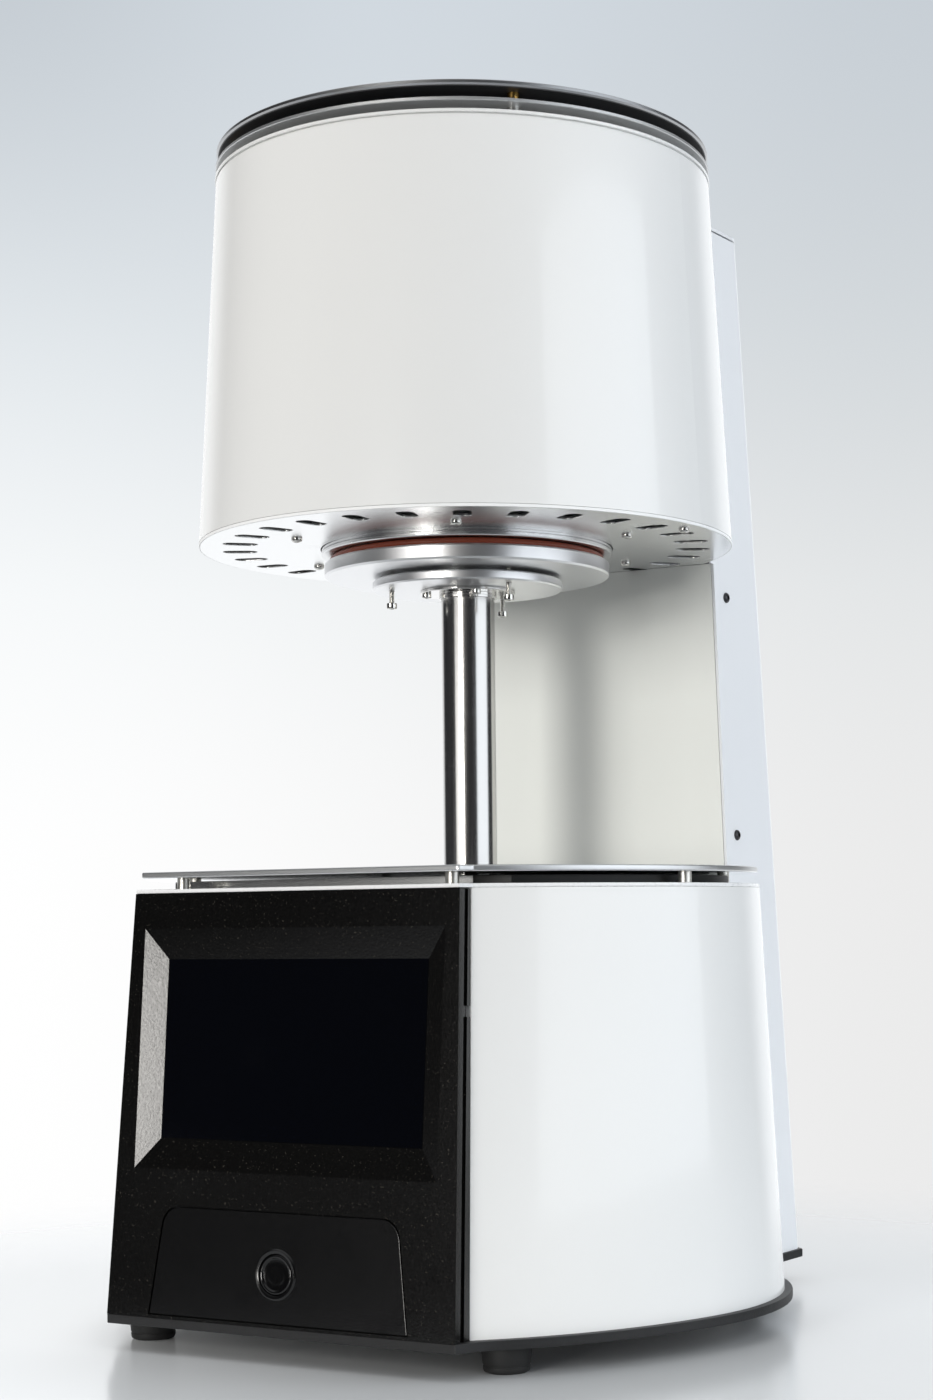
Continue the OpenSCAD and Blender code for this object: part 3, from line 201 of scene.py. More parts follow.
class Wire:  # one socket, usable in sums
    def __init__(self, graph, socket):
        self.graph = graph
        self.socket = socket

    def sums(self, operation, first, second=None):
        values = [first] if second is None else [first, second]
        return self.graph.node("ShaderNodeMath", {"operation": operation}, values)

    def __add__(self, other):
        return self.sums("ADD", self, other)

    def __sub__(self, other):
        return self.sums("SUBTRACT", self, other)

    def __mul__(self, other):
        return self.sums("MULTIPLY", self, other)

    def __truediv__(self, other):
        return self.sums("DIVIDE", self, other)

    def __pow__(self, other):
        return self.sums("POWER", self, other)

    def __rsub__(self, other):
        return self.sums("SUBTRACT", other, self)

    def orMore(self, other):  # the larger of the two
        return self.sums("MAXIMUM", self, other)

    __radd__ = __add__
    __rmul__ = __mul__


class Graph:  # the node tree of one material or of the world
    def __init__(self, owner):
        owner.use_nodes = True
        self.owner = owner
        self.tree = owner.node_tree
        self.tree.nodes.clear()
        coords = "Generated" if isinstance(owner, bpy.types.World) else "Object"
        self.where = self.node("ShaderNodeTexCoord", out=coords)

    def node(self, kind, settings=None, values=None, out=0):
        item = self.tree.nodes.new(kind)
        for key, value in (settings or {}).items():
            if key == "stops":
                ramp = item.color_ramp
                while len(ramp.elements) < len(value):
                    ramp.elements.new(0.5)
                for spot, (at, tone) in zip(ramp.elements, value):
                    spot.position = at
                    spot.color = shade(tone)
            else:
                setattr(item, key, value)
        pairs = (values or {}).items() if not isinstance(values, list) else enumerate(values)
        for key, value in pairs:
            if isinstance(value, Wire):
                self.tree.links.new(value.socket, item.inputs[key])
            else:
                item.inputs[key].default_value = value
        return Wire(self, item.outputs[out])

    def axes(self):
        split = self.node("ShaderNodeSeparateXYZ", None, [self.where])
        item = split.socket.node
        return [Wire(self, item.outputs[i]) for i in range(3)]

    def vector(self, x, y, z):
        return self.node("ShaderNodeCombineXYZ", None, [x, y, z])

    def scaled(self, x, y, z):
        return self.node("ShaderNodeVectorMath", {"operation": "MULTIPLY"}, [self.where, (x, y, z)])

    def noise(self, scale, detail=2.0, rough=0.5, vector=None):
        values = {"Vector": vector or self.where, "Scale": scale, "Detail": detail, "Roughness": rough}
        return self.node("ShaderNodeTexNoise", None, values)

    def step(self, value, low, high):  # 0 below low, 1 above high
        span = {0: value, 1: low, 2: high, 3: 0.0, 4: 1.0}
        return self.node("ShaderNodeMapRange", {"interpolation_type": "SMOOTHSTEP"}, span)

    def tones(self, value, *stops):
        return self.node("ShaderNodeValToRGB", {"stops": stops}, [value])

    def mix(self, factor, first, second):
        tone = [t if isinstance(t, Wire) else shade(t) for t in (first, second)]
        values = {0: factor, 6: tone[0], 7: tone[1]}
        return self.node("ShaderNodeMix", {"data_type": "RGBA"}, values, out=2)

    def bump(self, height, depth, strength=1.0):
        return self.node("ShaderNodeBump", None, {"Height": height, "Distance": depth, "Strength": strength})

    def surface(self, values):
        named = {k: shade(v) if isinstance(v, tuple) and len(v) == 3 and "Color" in k else v
                 for k, v in values.items()}
        self.output(self.node("ShaderNodeBsdfPrincipled", None, named))
        return self.owner

    def output(self, shader):
        kind = "World" if isinstance(self.owner, bpy.types.World) else "Material"
        ending = self.tree.nodes.new("ShaderNodeOutput" + kind)
        self.tree.links.new(shader.socket, ending.inputs["Surface"])


def shade(tone):  # a grey level or a tint, as four channels
    if isinstance(tone, (int, float)):
        return (tone, tone, tone, 1.0)
    return tuple(tone) + (1.0,) if len(tone) == 3 else tuple(tone)


def toned(tint, factor):  # the same tint, darker or lighter
    return tuple(c * factor for c in tint)


def liftRadius(x, y):  # distance from the lift axis
    return (x * x + (y - axisY) * (y - axisY)) ** 0.5


def material(name):
    return Graph(bpy.data.materials.new(name))


def dress(piece, look):
    if not piece.material_slots:
        piece.data.materials.append(look)
    for slot in piece.material_slots:
        slot.material = look


# Finishes

def powderCoat(name, tint, rough=0.24, coat=0.55, peel=0.00002):
    g = material(name)
    skin = g.noise(520, 2)  # orange peel of the sprayed coat
    slow = g.noise(9, 3)
    dark = toned(tint, 0.972)
    dust = g.step(g.noise(900, 1), 0.74, 0.8)
    color = g.mix(slow, dark, tint)
    return g.surface({"Base Color": g.mix(dust * 0.25, color, toned(tint, 0.9)),
                      "Roughness": rough + (skin - 0.5) * 0.08, "Coat Weight": coat, "Coat Roughness": 0.055,
                      "Coat IOR": 1.48, "Normal": g.bump(skin, peel)})


def grainedPlastic(name, tint, grain=2300, depth=0.00006, rough=0.4, lift=1.6, paintedGlints=0.0):
    g = material(name)
    fine = g.noise(grain, 3, 0.62)
    cells = g.node("ShaderNodeTexVoronoi", {"feature": "F1"}, {"Scale": grain * 0.62, "Vector": g.where})
    worn = g.step(g.noise(55, 4, 0.6), 0.52, 0.75)
    height = fine * 0.65 + cells * 0.35
    light = tuple(c * lift + 0.0012 for c in tint)
    # painted glints: light specks in the colour stand in for light sparkling on the grain
    paintedLight = g.step(g.noise(grain * 0.8, 2, 0.6), 0.64, 0.74) * paintedGlints
    body = g.mix(g.step(fine, 0.35, 0.75) * 0.6 + worn * 0.25, tint, light)
    return g.surface({"Base Color": g.mix(paintedLight, body, (0.075, 0.068, 0.055)),
                      "Roughness": rough + (fine - 0.5) * 0.2 - worn * 0.04, "Normal": g.bump(height, depth)})


def turnedMetal(name, tint, rough=0.3, lines=2600, depth=0.000004):
    g = material(name)
    x, y, z = g.axes()
    marks = g.noise(lines, 2, 0.7, g.vector(liftRadius(x, y), 0.0, z))
    slow = g.noise(16, 3)
    return g.surface({"Base Color": g.mix(slow * 0.6 + marks * 0.4, toned(tint, 0.93), tint), "Metallic": 1.0,
                      "Roughness": rough + (marks - 0.5) * 0.14 + (slow - 0.5) * 0.05,
                      "Normal": g.bump(marks, depth)})


def brushedMetal(name, tint, rough=0.25, along=(14, 2600, 2600), depth=0.000003):
    g = material(name)
    lines = g.noise(1.0, 3, 0.65, g.scaled(*along))
    slow = g.noise(11, 3)
    smear = g.step(g.noise(38, 4, 0.7), 0.5, 0.8)
    dark = toned(tint, 0.9)
    return g.surface({"Base Color": g.mix(lines * 0.7 + slow * 0.3, dark, tint), "Metallic": 1.0,
                      "Roughness": rough + (lines - 0.5) * 0.16 + smear * 0.04,
                      "Normal": g.bump(lines, depth)})


def castMetal(name, tint, rough=0.5, grain=1100, depth=0.00004):
    g = material(name)
    sand = g.noise(grain, 4, 0.6)
    slow = g.noise(24, 3)
    dark = toned(tint, 0.82)
    return g.surface({"Base Color": g.mix(sand * 0.5 + slow * 0.5, dark, tint), "Metallic": 1.0,
                      "Roughness": rough + (sand - 0.5) * 0.2, "Normal": g.bump(sand, depth)})


def platedMetal(name, tint, rough=0.2, stain=(0.5, 0.45, 0.36)):
    g = material(name)
    fine = g.noise(1500, 2)
    spots = g.step(g.noise(420, 3, 0.6), 0.6, 0.8)
    return g.surface({"Base Color": g.mix(spots * 0.35, tint, stain), "Metallic": 1.0,
                      "Roughness": rough + spots * 0.12 + (fine - 0.5) * 0.06,
                      "Normal": g.bump(fine, 0.000004)})


def softRubber(name, tint, rough=0.62, grain=900, depth=0.00003):
    g = material(name)
    fine = g.noise(grain, 3, 0.6)
    dusty = g.step(g.noise(70, 4, 0.6), 0.5, 0.78)
    light = tuple(c * 1.35 + 0.01 for c in tint)
    return g.surface({"Base Color": g.mix(dusty * 0.45 + fine * 0.15, tint, light),
                      "Roughness": rough + (fine - 0.5) * 0.16, "Normal": g.bump(fine, depth)})


def fibreBoard(name, tint, depth=0.0002):
    g = material(name)
    wool = g.noise(1.0, 5, 0.7, g.scaled(700, 700, 2400))
    lumps = g.noise(160, 4, 0.6)
    warm = tuple(c * f for c, f in zip(tint, (0.93, 0.88, 0.8)))
    return g.surface({"Base Color": g.mix(lumps * 0.7 + wool * 0.3, warm, tint), "Roughness": 0.9,
                      "Normal": g.bump(wool * 0.6 + lumps * 0.4, depth)})


def screenGlass():
    values = {"bezel": (0.0008, 0.0008, 0.001), "display": (0.0006, 0.0009, 0.002), "halfWide": 75.8,
              "low": 84.8, "high": 171.5, "rough": 0.045, "blend": 0.4}
    g = material("screenGlass")
    x, z = g.axes()[::2]
    half, blend = values["halfWide"] * mm, values["blend"] * mm
    low, high = values["low"] * mm + plateTop, values["high"] * mm + plateTop
    inside = g.step(x, -half - blend, -half) * (1 - g.step(x, half, half + blend))
    inside = inside * g.step(z, low, low + blend) * (1 - g.step(z, high, high + blend))
    smudge = g.step(g.noise(26, 4, 0.65), 0.52, 0.8)
    return g.surface({"Base Color": g.mix(inside, values["bezel"], values["display"]),
                      "Roughness": values["rough"] + smudge * 0.07, "IOR": 1.5,
                      "Normal": g.bump(g.noise(40, 1), 0.000002)})


def heatPlateLook():  # milled rim and top, underside painted black as painted shade of the gap below it
    values = {"metal": (0.56, 0.57, 0.585), "stain": (0.36, 0.34, 0.31), "black": (0.05, 0.05, 0.052),
              "edge": 606.0}
    g = material("heatPlateMetal")
    x, y, z = g.axes()
    marks = g.noise(2200, 2, 0.7, g.vector(liftRadius(x, y), 0.0, z))
    # painted shade: below the edge height the colour turns black and non-metallic, standing in for the shade
    # in the gap
    under = 1 - g.step(z, values["edge"] * mm, (values["edge"] + 0.25) * mm)
    heat = g.step(g.noise(18, 4, 0.6), 0.45, 0.8)
    color = g.mix(heat * 0.4, values["metal"], values["stain"])
    return g.surface({"Base Color": g.mix(under, color, values["black"]), "Metallic": 1 - under,
                      "Roughness": 0.34 + (marks - 0.5) * 0.14 + under * 0.25,
                      "Normal": g.bump(marks, 0.000005)})


def riserLook():  # polished front, right end painted black as painted shade under the table
    values = {"metal": (0.82, 0.82, 0.81), "black": (0.002, 0.002, 0.002), "end": 81.8}
    g = material("riserPolish")
    x = g.axes()[0]
    # painted shade: only the right end, past 81.8 mm, is painted black and non-metallic for the shade under
    # the table plate
    end = g.step(x, values["end"] * mm, (values["end"] + 0.4) * mm)
    lines = g.noise(1.0, 3, 0.65, g.scaled(40, 40, 2600))
    slow = g.noise(11, 3)
    color = g.mix(lines * 0.7 + slow * 0.3, toned(values["metal"], 0.9), values["metal"])
    return g.surface({"Base Color": g.mix(end, color, values["black"]), "Metallic": 1 - end,
                      "Roughness": 0.23 + lines * 0.04 + end * 0.25, "Normal": g.bump(lines, 0.0000001)})


def tableLook():  # brushed top and edge, polished underneath
    values = {"metal": (0.85, 0.86, 0.865), "under": 228.4, "rough": 0.38, "polish": 0.05}
    g = material("tableAluminium")
    z = g.axes()[2]
    under = 1 - g.step(z, (values["under"] - 0.2) * mm, (values["under"] + 0.2) * mm)
    lines = g.noise(1.0, 3, 0.65, g.scaled(18, 1500, 1500))
    slow = g.noise(11, 3)
    color = g.mix(lines * 0.6 + slow * 0.4, toned(values["metal"], 0.93), values["metal"])
    rough = values["rough"] + (lines - 0.5) * 0.1
    return g.surface({"Base Color": color, "Metallic": 1.0,
                      "Roughness": rough * (1 - under) + under * values["polish"],
                      "Normal": g.bump(lines * (1 - under), 0.000002)})


def bottomLook():  # satin sheet with a blasted rim
    values = {"metal": (0.9, 0.905, 0.905), "rim": 139.2}
    g = material("satinBottomSheet")
    x, y = g.axes()[:2]
    rim = g.step(liftRadius(x, y), values["rim"] * mm, (values["rim"] + 0.3) * mm)
    lines = g.noise(1.0, 3, 0.65, g.scaled(16, 2200, 2200))
    slow = g.noise(11, 3)
    smear = g.step(g.noise(38, 4, 0.7), 0.5, 0.8)
    color = g.mix(lines * 0.7 + slow * 0.3, toned(values["metal"], 0.93), values["metal"])
    return g.surface({"Base Color": color, "Metallic": 1 - rim,
                      "Roughness": 0.24 + (lines - 0.5) * 0.16 + smear * 0.04 + rim * 0.2,
                      "Normal": g.bump(lines, 0.000003)})


def circuitBoard():
    values = {"green": (0.02, 0.13, 0.05), "deep": (0.012, 0.09, 0.035), "track": (0.05, 0.24, 0.09),
              "gold": (0.6, 0.55, 0.42), "part": (0.02, 0.021, 0.023), "face": 26.45, "blend": 0.15}
    g = material("circuitBoard")
    x, y, z = g.axes()
    tracks = g.node("ShaderNodeTexBrick", None, {
        "Vector": g.vector(x * 6, z * 6, 0.0), "Scale": 60.0, "Mortar Size": 0.012,
        "Color1": shade(values["green"]), "Color2": shade(values["deep"]), "Mortar": shade(values["track"])})
    behind = (y - frontY) - (z - plateTop) * frontSlope  # distance behind the leaning front
    parts = g.step(behind, values["face"] * mm, (values["face"] + values["blend"]) * mm)
    lands = g.step(g.noise(500, 1), 0.68, 0.7)
    copper = g.mix(lands, tracks, values["gold"])
    return g.surface({"Base Color": g.mix(parts, copper, values["part"]),
                      "Roughness": 0.35 + parts * 0.2 - lands * 0.1, "Metallic": lands * (1 - parts),
                      "Normal": g.bump(g.noise(900, 2), 0.00003)})


def motorLook():  # cast ends and a stack of dark sheets between them
    values = {"low": 52.9, "high": 82.9, "blend": 0.2, "cast": (0.33, 0.335, 0.34),
              "dark": (0.02, 0.02, 0.021), "light": (0.06, 0.06, 0.063)}
    g = material("motorSteel")
    z = g.axes()[2]
    low, high, blend = values["low"] * mm, values["high"] * mm, values["blend"] * mm
    stack = g.step(z, low - blend, low) * (1 - g.step(z, high, high + blend))
    sheets = z.sums("PINGPONG", z / mm, 0.5)
    fine = g.noise(800, 3)
    color = g.mix(stack, values["cast"], g.mix(sheets * 2, values["dark"], values["light"]))
    return g.surface({"Base Color": color, "Metallic": 1.0,
                      "Roughness": 0.38 + stack * 0.15 + (fine - 0.5) * 0.2,
                      "Normal": g.bump(sheets * stack + fine * 0.2, 0.00008)})


def galvanised(name, tint):
    g = material(name)
    flakes = g.node("ShaderNodeTexVoronoi", {"feature": "F1"}, {"Vector": g.where, "Scale": 160.0}, out=1)
    level = g.node("ShaderNodeSeparateXYZ", None, [flakes])
    dark = toned(tint, 0.8)
    return g.surface({"Base Color": g.mix(level, dark, tint), "Metallic": 1.0,
                      "Roughness": 0.32 + level * 0.18, "Normal": g.bump(g.noise(600, 2), 0.00001)})


def inletLook():
    values = {"black": (0.012, 0.012, 0.013), "light": (0.028, 0.028, 0.03)}
    g = material("inletMoulding")
    fine = g.noise(1800, 3, 0.6)
    return g.surface({"Base Color": g.mix(fine * 0.5, values["black"], values["light"]),
                      "Roughness": 0.42 + (fine - 0.5) * 0.2, "Normal": g.bump(fine, 0.00004)})


print("finishes")
white = powderCoat("glossWhiteCoat", (0.80, 0.803, 0.795))
coolWhite = powderCoat("columnWhiteCoat", (0.82, 0.835, 0.855), 0.3, 0.4)
creamWhite = powderCoat("panelSatinCoat", (0.87, 0.885, 0.845), 0.36, 0.25, 0.00003)
deckWhite = powderCoat("deckWhiteCoat", (0.82, 0.822, 0.825), 0.28, 0.4)
fasciaBlack = grainedPlastic("fasciaGrain", (0.0018, 0.0017, 0.0015), 1100, 0.00004, 0.17, paintedGlints=0.5)
panelBlack = grainedPlastic("panelGrain", (0.0018, 0.0018, 0.0019), 1900, 0.00003, 0.2, paintedGlints=0.15)
plateBlack = grainedPlastic("wrinkleCoat", (0.009, 0.009, 0.0095), 1300, 0.00012, 0.5)
buttonBlack = grainedPlastic("buttonGrain", (0.0015, 0.0015, 0.0016), 3200, 0.000002, 0.12)
ringBlack = grainedPlastic("ringGrain", (0.0025, 0.0025, 0.0027), 3200, 0.000003, 0.17)
tableMetal = tableLook()
riserMetal = riserLook()
tubeMetal = brushedMetal("groundStainless", (0.66, 0.652, 0.64), 0.19, (900, 900, 9), 0.0000012)
discMetal = turnedMetal("anodisedDisc", (0.93, 0.935, 0.945), 0.34)
collarMetal = turnedMetal("polishedCollar", (0.78, 0.77, 0.75), 0.13, 3000, 0.000002)
flangeMetal = turnedMetal("polishedFlange", (0.8, 0.805, 0.81), 0.26, 3000, 0.000003)
bottomMetal = bottomLook()
ventMetal = turnedMetal("ventSheet", (0.9, 0.905, 0.91), 0.48)
brass = platedMetal("brass", (0.74, 0.46, 0.14), 0.24, (0.35, 0.2, 0.07))
nickel = platedMetal("nickelPlate", (0.76, 0.75, 0.72), 0.16)
satinNickel = platedMetal("satinNickel", (0.86, 0.845, 0.79), 0.36, (0.7, 0.66, 0.56))
zinc = platedMetal("zincPlate", (0.7, 0.69, 0.66), 0.22)
blackOxide = platedMetal("blackOxide", (0.09, 0.09, 0.095), 0.3, (0.12, 0.1, 0.08))
silicone = softRubber("siliconeRed", (0.215, 0.042, 0.019), 0.42, 1200, 0.00001)
footRubber = softRubber("footRubber", (0.012, 0.012, 0.012))
beltRubber = softRubber("beltRubber", (0.018, 0.018, 0.019), 0.6)
hoseRubber = softRubber("hoseSilicone", (0.5, 0.47, 0.42), 0.38, 700, 0.00001)
frameSteel = castMetal("primedFrame", (0.3, 0.31, 0.325), 0.46, 900, 0.00003)
castAluminium = castMetal("millAluminium", (0.6, 0.61, 0.62), 0.36)
toolSteel = turnedMetal("groundSteel", (0.55, 0.555, 0.56), 0.16)
fibre = fibreBoard("ceramicFibre", (0.8, 0.775, 0.7))
ceramic = fibreBoard("firedCeramic", (0.76, 0.7, 0.58), 0.00003)

looks = {
    "base_plate": plateBlack, "rubber_feet": footRubber, "base_cover": white, "base_deck": deckWhite,
    "front_fascia": fasciaBlack, "switch_panel": panelBlack, "touch_screen": screenGlass(),
    "control_board": circuitBoard(), "power_button": buttonBlack, "button_housing": ringBlack,
    "table_plate": tableMetal, "table_standoffs": satinNickel, "deck_riser": riserMetal,
    "guide_housing": castAluminium, "guide_bushes": brass, "lift_tube": tubeMetal, "tube_collar": collarMetal,
    "lower_disc": discMetal, "platform_disc": discMetal, "seal_ring": silicone, "platform_screws": nickel,
    "firing_pedestal": fibre, "firing_tray": ceramic, "nut_carriage": castAluminium, "lift_nut": brass,
    "guide_rod": toolSteel, "lead_screw": toolSteel,
    "screw_bearing": toolSteel, "bearing_block": castAluminium, "screw_pulley": castAluminium,
    "drive_belt": beltRubber, "motor_pulley": castAluminium, "lift_motor": motorLook(),
    "motor_bracket": galvanised("bracketZinc", (0.6, 0.61, 0.62)), "limit_switches": blackOxide,
    "power_supply": galvanised("supplyCase", (0.55, 0.56, 0.57)), "column_frame": frameSteel,
    "head_frame": frameSteel, "column_panel": creamWhite, "column_cover": coolWhite, "column_cap": coolWhite,
    "column_screws": blackOxide, "head_shell": white, "head_cover": white, "vent_plate": ventMetal,
    "heat_plate": heatPlateLook(), "brass_spacers": brass, "nickel_spacers": nickel,
    "bottom_plate": bottomMetal, "bottom_screws": zinc, "chamber_flange": flangeMetal,
    "vacuum_pot": brushedMetal("potStainless", (0.6, 0.6, 0.6), 0.3), "fibre_hood": fibre,
    "heating_coil": castMetal("coilOxide", (0.2, 0.17, 0.14), 0.6), "thermocouple": ceramic,
    "power_inlet": inletLook(), "switch_frame": ringBlack, "main_switch": ringBlack,
    "vacuum_port": nickel, "vacuum_hose": hoseRubber,
}
for nodeName, look in looks.items():
    dress(nodes[nodeName], look)


# Sheet and moulded parts with eased edges

print("eased edges")
easing = {  # radius in mm and the least angle that is rounded
    "front_fascia": (0.45, 12), "switch_panel": (0.45, 30), "base_deck": (0.6, 30), "table_plate": (1.3, 30),
    "base_plate": (0.5, 30), "base_cover": (0.35, 30), "column_cover": (0.4, 30), "column_panel": (0.5, 30),
    "column_cap": (0.5, 30), "bottom_plate": (0.3, 30), "touch_screen": (0.3, 30), "deck_riser": (0.5, 30),
    "tube_collar": (0.35, 30), "power_inlet": (0.4, 30), "switch_frame": (0.4, 30), "main_switch": (0.4, 30),
    "vacuum_port": (0.3, 25),
}
for nodeName, (width, angle) in easing.items():
    dress(easedCopy(nodeName, width, angle, 3 if width > 1 else 2), looks[nodeName])


# Pieces shaped by hand

leanTurn = Matrix.Translation((0, frontY, plateTop)) @ spin(-math.atan(frontSlope), "X")
liftAxis = Matrix.Translation((0, axisY, 0))


def widen(factor):
    bpy.ops.transform.resize(value=(factor, factor, 1), center_override=(0, 0, 0))


def turned(name, steps, sides=48, hollow=False):  # steps give radius and height in mm
    radius, height = steps[0]
    fill = "NOTHING" if hollow else "NGON"
    piece = primitive("circle", name, vertices=sides, radius=radius * mm, fill_type=fill,
                      location=(0, 0, height * mm))
    pickAll(place(piece, Matrix.Identity(4)))
    for nextRadius, nextHeight in steps[1:] + (steps[:1] if hollow else []):
        extrude(z=(nextHeight - height) * mm)
        widen(nextRadius / radius)
        radius, height = nextRadius, nextHeight
    bpy.ops.object.mode_set(mode="OBJECT")
    closeUp(piece)
    return piece


def block(name, sizes, middle=(0, 0, 0), turn=0):  # a box about its middle, in mm
    piece = primitive("cube", name, size=1, scale=[v * mm for v in sizes], location=[v * mm for v in middle],
                      rotation=(0, 0, turn))
    return place(piece, Matrix.Identity(4))


def carve(piece, cutter):
    modify(piece, "BOOLEAN", object=cutter, operation="DIFFERENCE", solver="EXACT")
    discard(cutter)


def hexSocket(piece, radius, low, high):  # radius to the corners
    cutter = primitive("cylinder", "socket", vertices=6, radius=radius * mm, depth=(high - low) * mm,
                       location=(0, 0, (low + high) / 2 * mm))
    place(cutter, Matrix.Identity(4))
    carve(piece, cutter)


def eased(piece, width, angle=30, segments=2):
    modify(piece, "BEVEL", width=width * mm, segments=segments, limit_method="ANGLE",
           angle_limit=math.radians(angle), use_clamp_overlap=True)
    smooth(piece, 35)


def helix(name, radius, wire, pitch, turns, sides=10, steps=32):  # a round wire wound about the z axis
    piece = primitive("circle", name, vertices=sides, radius=wire * mm, fill_type="NOTHING",
                      location=(radius * mm, 0, 0), rotation=(math.pi / 2, 0, 0))
    place(piece, Matrix.Identity(4))
    modify(piece, "SCREW", axis="Z", angle=2 * math.pi, screw_offset=pitch * mm, iterations=turns,
           steps=steps, render_steps=steps)
    return closedEnds(piece)


def threadedRod(name, radius, depth, pitch, turns, sides=20):  # a rolled thread, its foot at height 0
    piece = primitive("plane", name, size=0.001)
    pickAll(piece)
    bpy.ops.mesh.merge(type="CENTER")
    bpy.ops.transform.translate(value=((radius - depth) * mm, 0, 0))
    extrude(x=depth * mm, z=pitch / 2 * mm)
    extrude(x=-depth * mm, z=pitch / 2 * mm)
    bpy.ops.object.mode_set(mode="OBJECT")
    modify(piece, "SCREW", axis="Z", angle=2 * math.pi, screw_offset=pitch * mm, iterations=turns,
           steps=sides, render_steps=sides)
    return closedEnds(piece)


def closedEnds(piece):  # a face over each open end
    closeUp(piece)
    pickAll(piece)
    bpy.ops.mesh.fill_holes(sides=0)
    bpy.ops.mesh.normals_make_consistent(inside=False)
    bpy.ops.object.mode_set(mode="OBJECT")
    return piece


def finished(piece, nodeName, look):
    dress(piece, look)
    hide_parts(nodeName)
    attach(piece, nodes[nodeName]["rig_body"])
    return piece


def startButton():
    values = {"up": 24.6, "cap": 9.4, "ring": 12.0, "gap": 0.3, "lip": 1.9, "stem": 3, "stemLow": -16,
              "under": -5, "barrel": -13, "step": -11.5, "body": (20, 20, 11), "bodyMiddle": -18,
              "tab": (0.8, 3, 5.2), "tabMiddle": -25.4, "tabs": (-6, -2, 2, 6)}
    facing = leanTurn @ shift(0, 0, values["up"]) @ spin(math.pi / 2, "X")  # z points outwards
    cap, lip, outer, stem = values["cap"], values["lip"], values["ring"], values["stem"]
    under, barrel, step = values["under"], values["barrel"], values["step"]
    piece = turned("startButtonCap", [
        (stem, values["stemLow"]), (stem, under), (cap, under), (cap, -0.35), (cap - 0.12, 0),
        (cap - 0.5, 0.3), (cap - lip * 0.5, 0.42), (cap - lip + 0.4, 0.22), (cap - lip, -0.3),
        (cap - lip - 0.25, -0.5), (cap * 0.4, -0.5), (0.4, -0.5)], 72)
    eased(piece, 0.08, 20)
    finished(place(piece, facing), "power_button", buttonBlack)
    inner = cap + values["gap"]
    piece = turned("startButtonRing", [
        (inner, step), (inner, 0.3), (inner + 0.15, 0.45), (outer - 0.85, 0.85), (outer, 0.12), (outer, 0.03),
        (outer - 1, 0.03), (outer - 1, barrel), (stem + 0.3, barrel), (stem + 0.3, step)], 72, hollow=True)
    eased(piece, 0.12, 20)
    body = block("switchBody", values["body"], (0, 0, values["bodyMiddle"]))
    pickFaces(body, lambda middle, normal: normal.z < -0.9)
    inset(1.6 * mm)
    extrude(z=-0.8 * mm)
    bpy.ops.object.mode_set(mode="OBJECT")
    eased(body, 0.6)
    parts = [piece, body]
    for x in values["tabs"]:
        tab = block("tab", values["tab"], (x, 0, values["tabMiddle"]))
        eased(tab, 0.2)
        parts.append(tab)
    piece = joined("startButtonRing", parts)
    finished(place(piece, facing), "button_housing", ringBlack)


def rubberFeet():
    values = {"places": ((104, -133), (84, 160)), "high": 13, "top": 12, "low": 10.8}
    low, top, high = values["low"], values["top"], values["high"]
    foot = turned("foot", [(0.4, 1.5), (3, 1.5), (3, 0.02), (low - 1.5, 0.02), (low - 0.4, 0.55), (low, 1.4),
                           (low + 0.12, 3), (low - 0.1, 3.25), (low - 0.1, 3.75), (low + 0.2, 4), (top, high),
                           (0.4, high)], 64)
    eased(foot, 0.15, 28)
    feet = [copyTo(foot, "foot", shift(side * x, y, 0)) for x, y in values["places"] for side in (-1, 1)]
    discard(foot)
    finished(place(joined("rubberFeet", feet), liftAxis), "rubber_feet", footRubber)


def levellingScrews():
    values = {"ring": 40, "turns": (-145, -25, 95), "collarRing": 22, "collarTurns": (45, 135, 225, 315),
              "high": 379.4, "collar": 377.6, "rod": 1.48, "depth": 0.28, "pitch": 0.5}
    high, collar = values["high"], values["collar"]
    kinds = (  # name, head radius, foot, head height, socket radius, top of the thread, ring and its angles
        ("long", 2.7, high - 9.4, 3, 1.3, high + 9, values["ring"], values["turns"]),
        ("short", 2.4, collar - 2.4, 2.35, 1.15, collar + 4, values["collarRing"], values["collarTurns"]))
    screws = []
    for name, radius, low, tall, socket, stop, ring, turns in kinds:
        head = turned(name, [(radius - 0.25, low), (radius, low + 0.3), (radius, low + tall)], 40)
        hexSocket(head, socket, low - 1, low + tall * 0.58)
        eased(head, 0.07, 30, 1)
        threads = int((stop - low - tall) / values["pitch"])
        rod = threadedRod("rod", values["rod"], values["depth"], values["pitch"], threads, 18)
        smooth(rod, 20)
        place(rod, shift(0, 0, low + tall - 0.3))
        whole = joined(name, [head, rod])
        screws += [copyTo(whole, "screw", spin(math.radians(a)) @ shift(ring, 0, 0)) for a in turns]
        discard(whole)
    finished(place(joined("platformScrews", screws), liftAxis), "platform_screws", nickel)


def panHeadScrews():
    values = {"ring": 97, "outer": 130, "head": 401, "shank": 1.5, "slot": (2.9, 0.62, 1.6)}
    z, shank = values["head"], values["shank"]
    screw = turned("screw", [(0.8, z - 2.15), (1.7, z - 2.1), (2.35, z - 1.75), (2.7, z - 1.15),
                             (2.8, z - 0.5), (2.8, z - 0.03), (shank, z - 0.03), (shank, z + 4.6)], 40)
    for turn in (0, math.pi / 2):  # cross recess
        carve(screw, block("slot", values["slot"], (0, 0, z - 2.1), turn))
    eased(screw, 0.05, 35, 1)
    spots = [(values["ring"] * math.cos(math.radians(a)), values["ring"] * math.sin(math.radians(a)), a)
             for a in range(0, 360, 60)] + [(values["outer"], 0, 20)]
    screws = [copyTo(screw, "screw", shift(x, y, 0) @ spin(a * 1.7)) for x, y, a in spots]
    discard(screw)
    finished(place(joined("bottomScrews", screws), liftAxis), "bottom_screws", zinc)


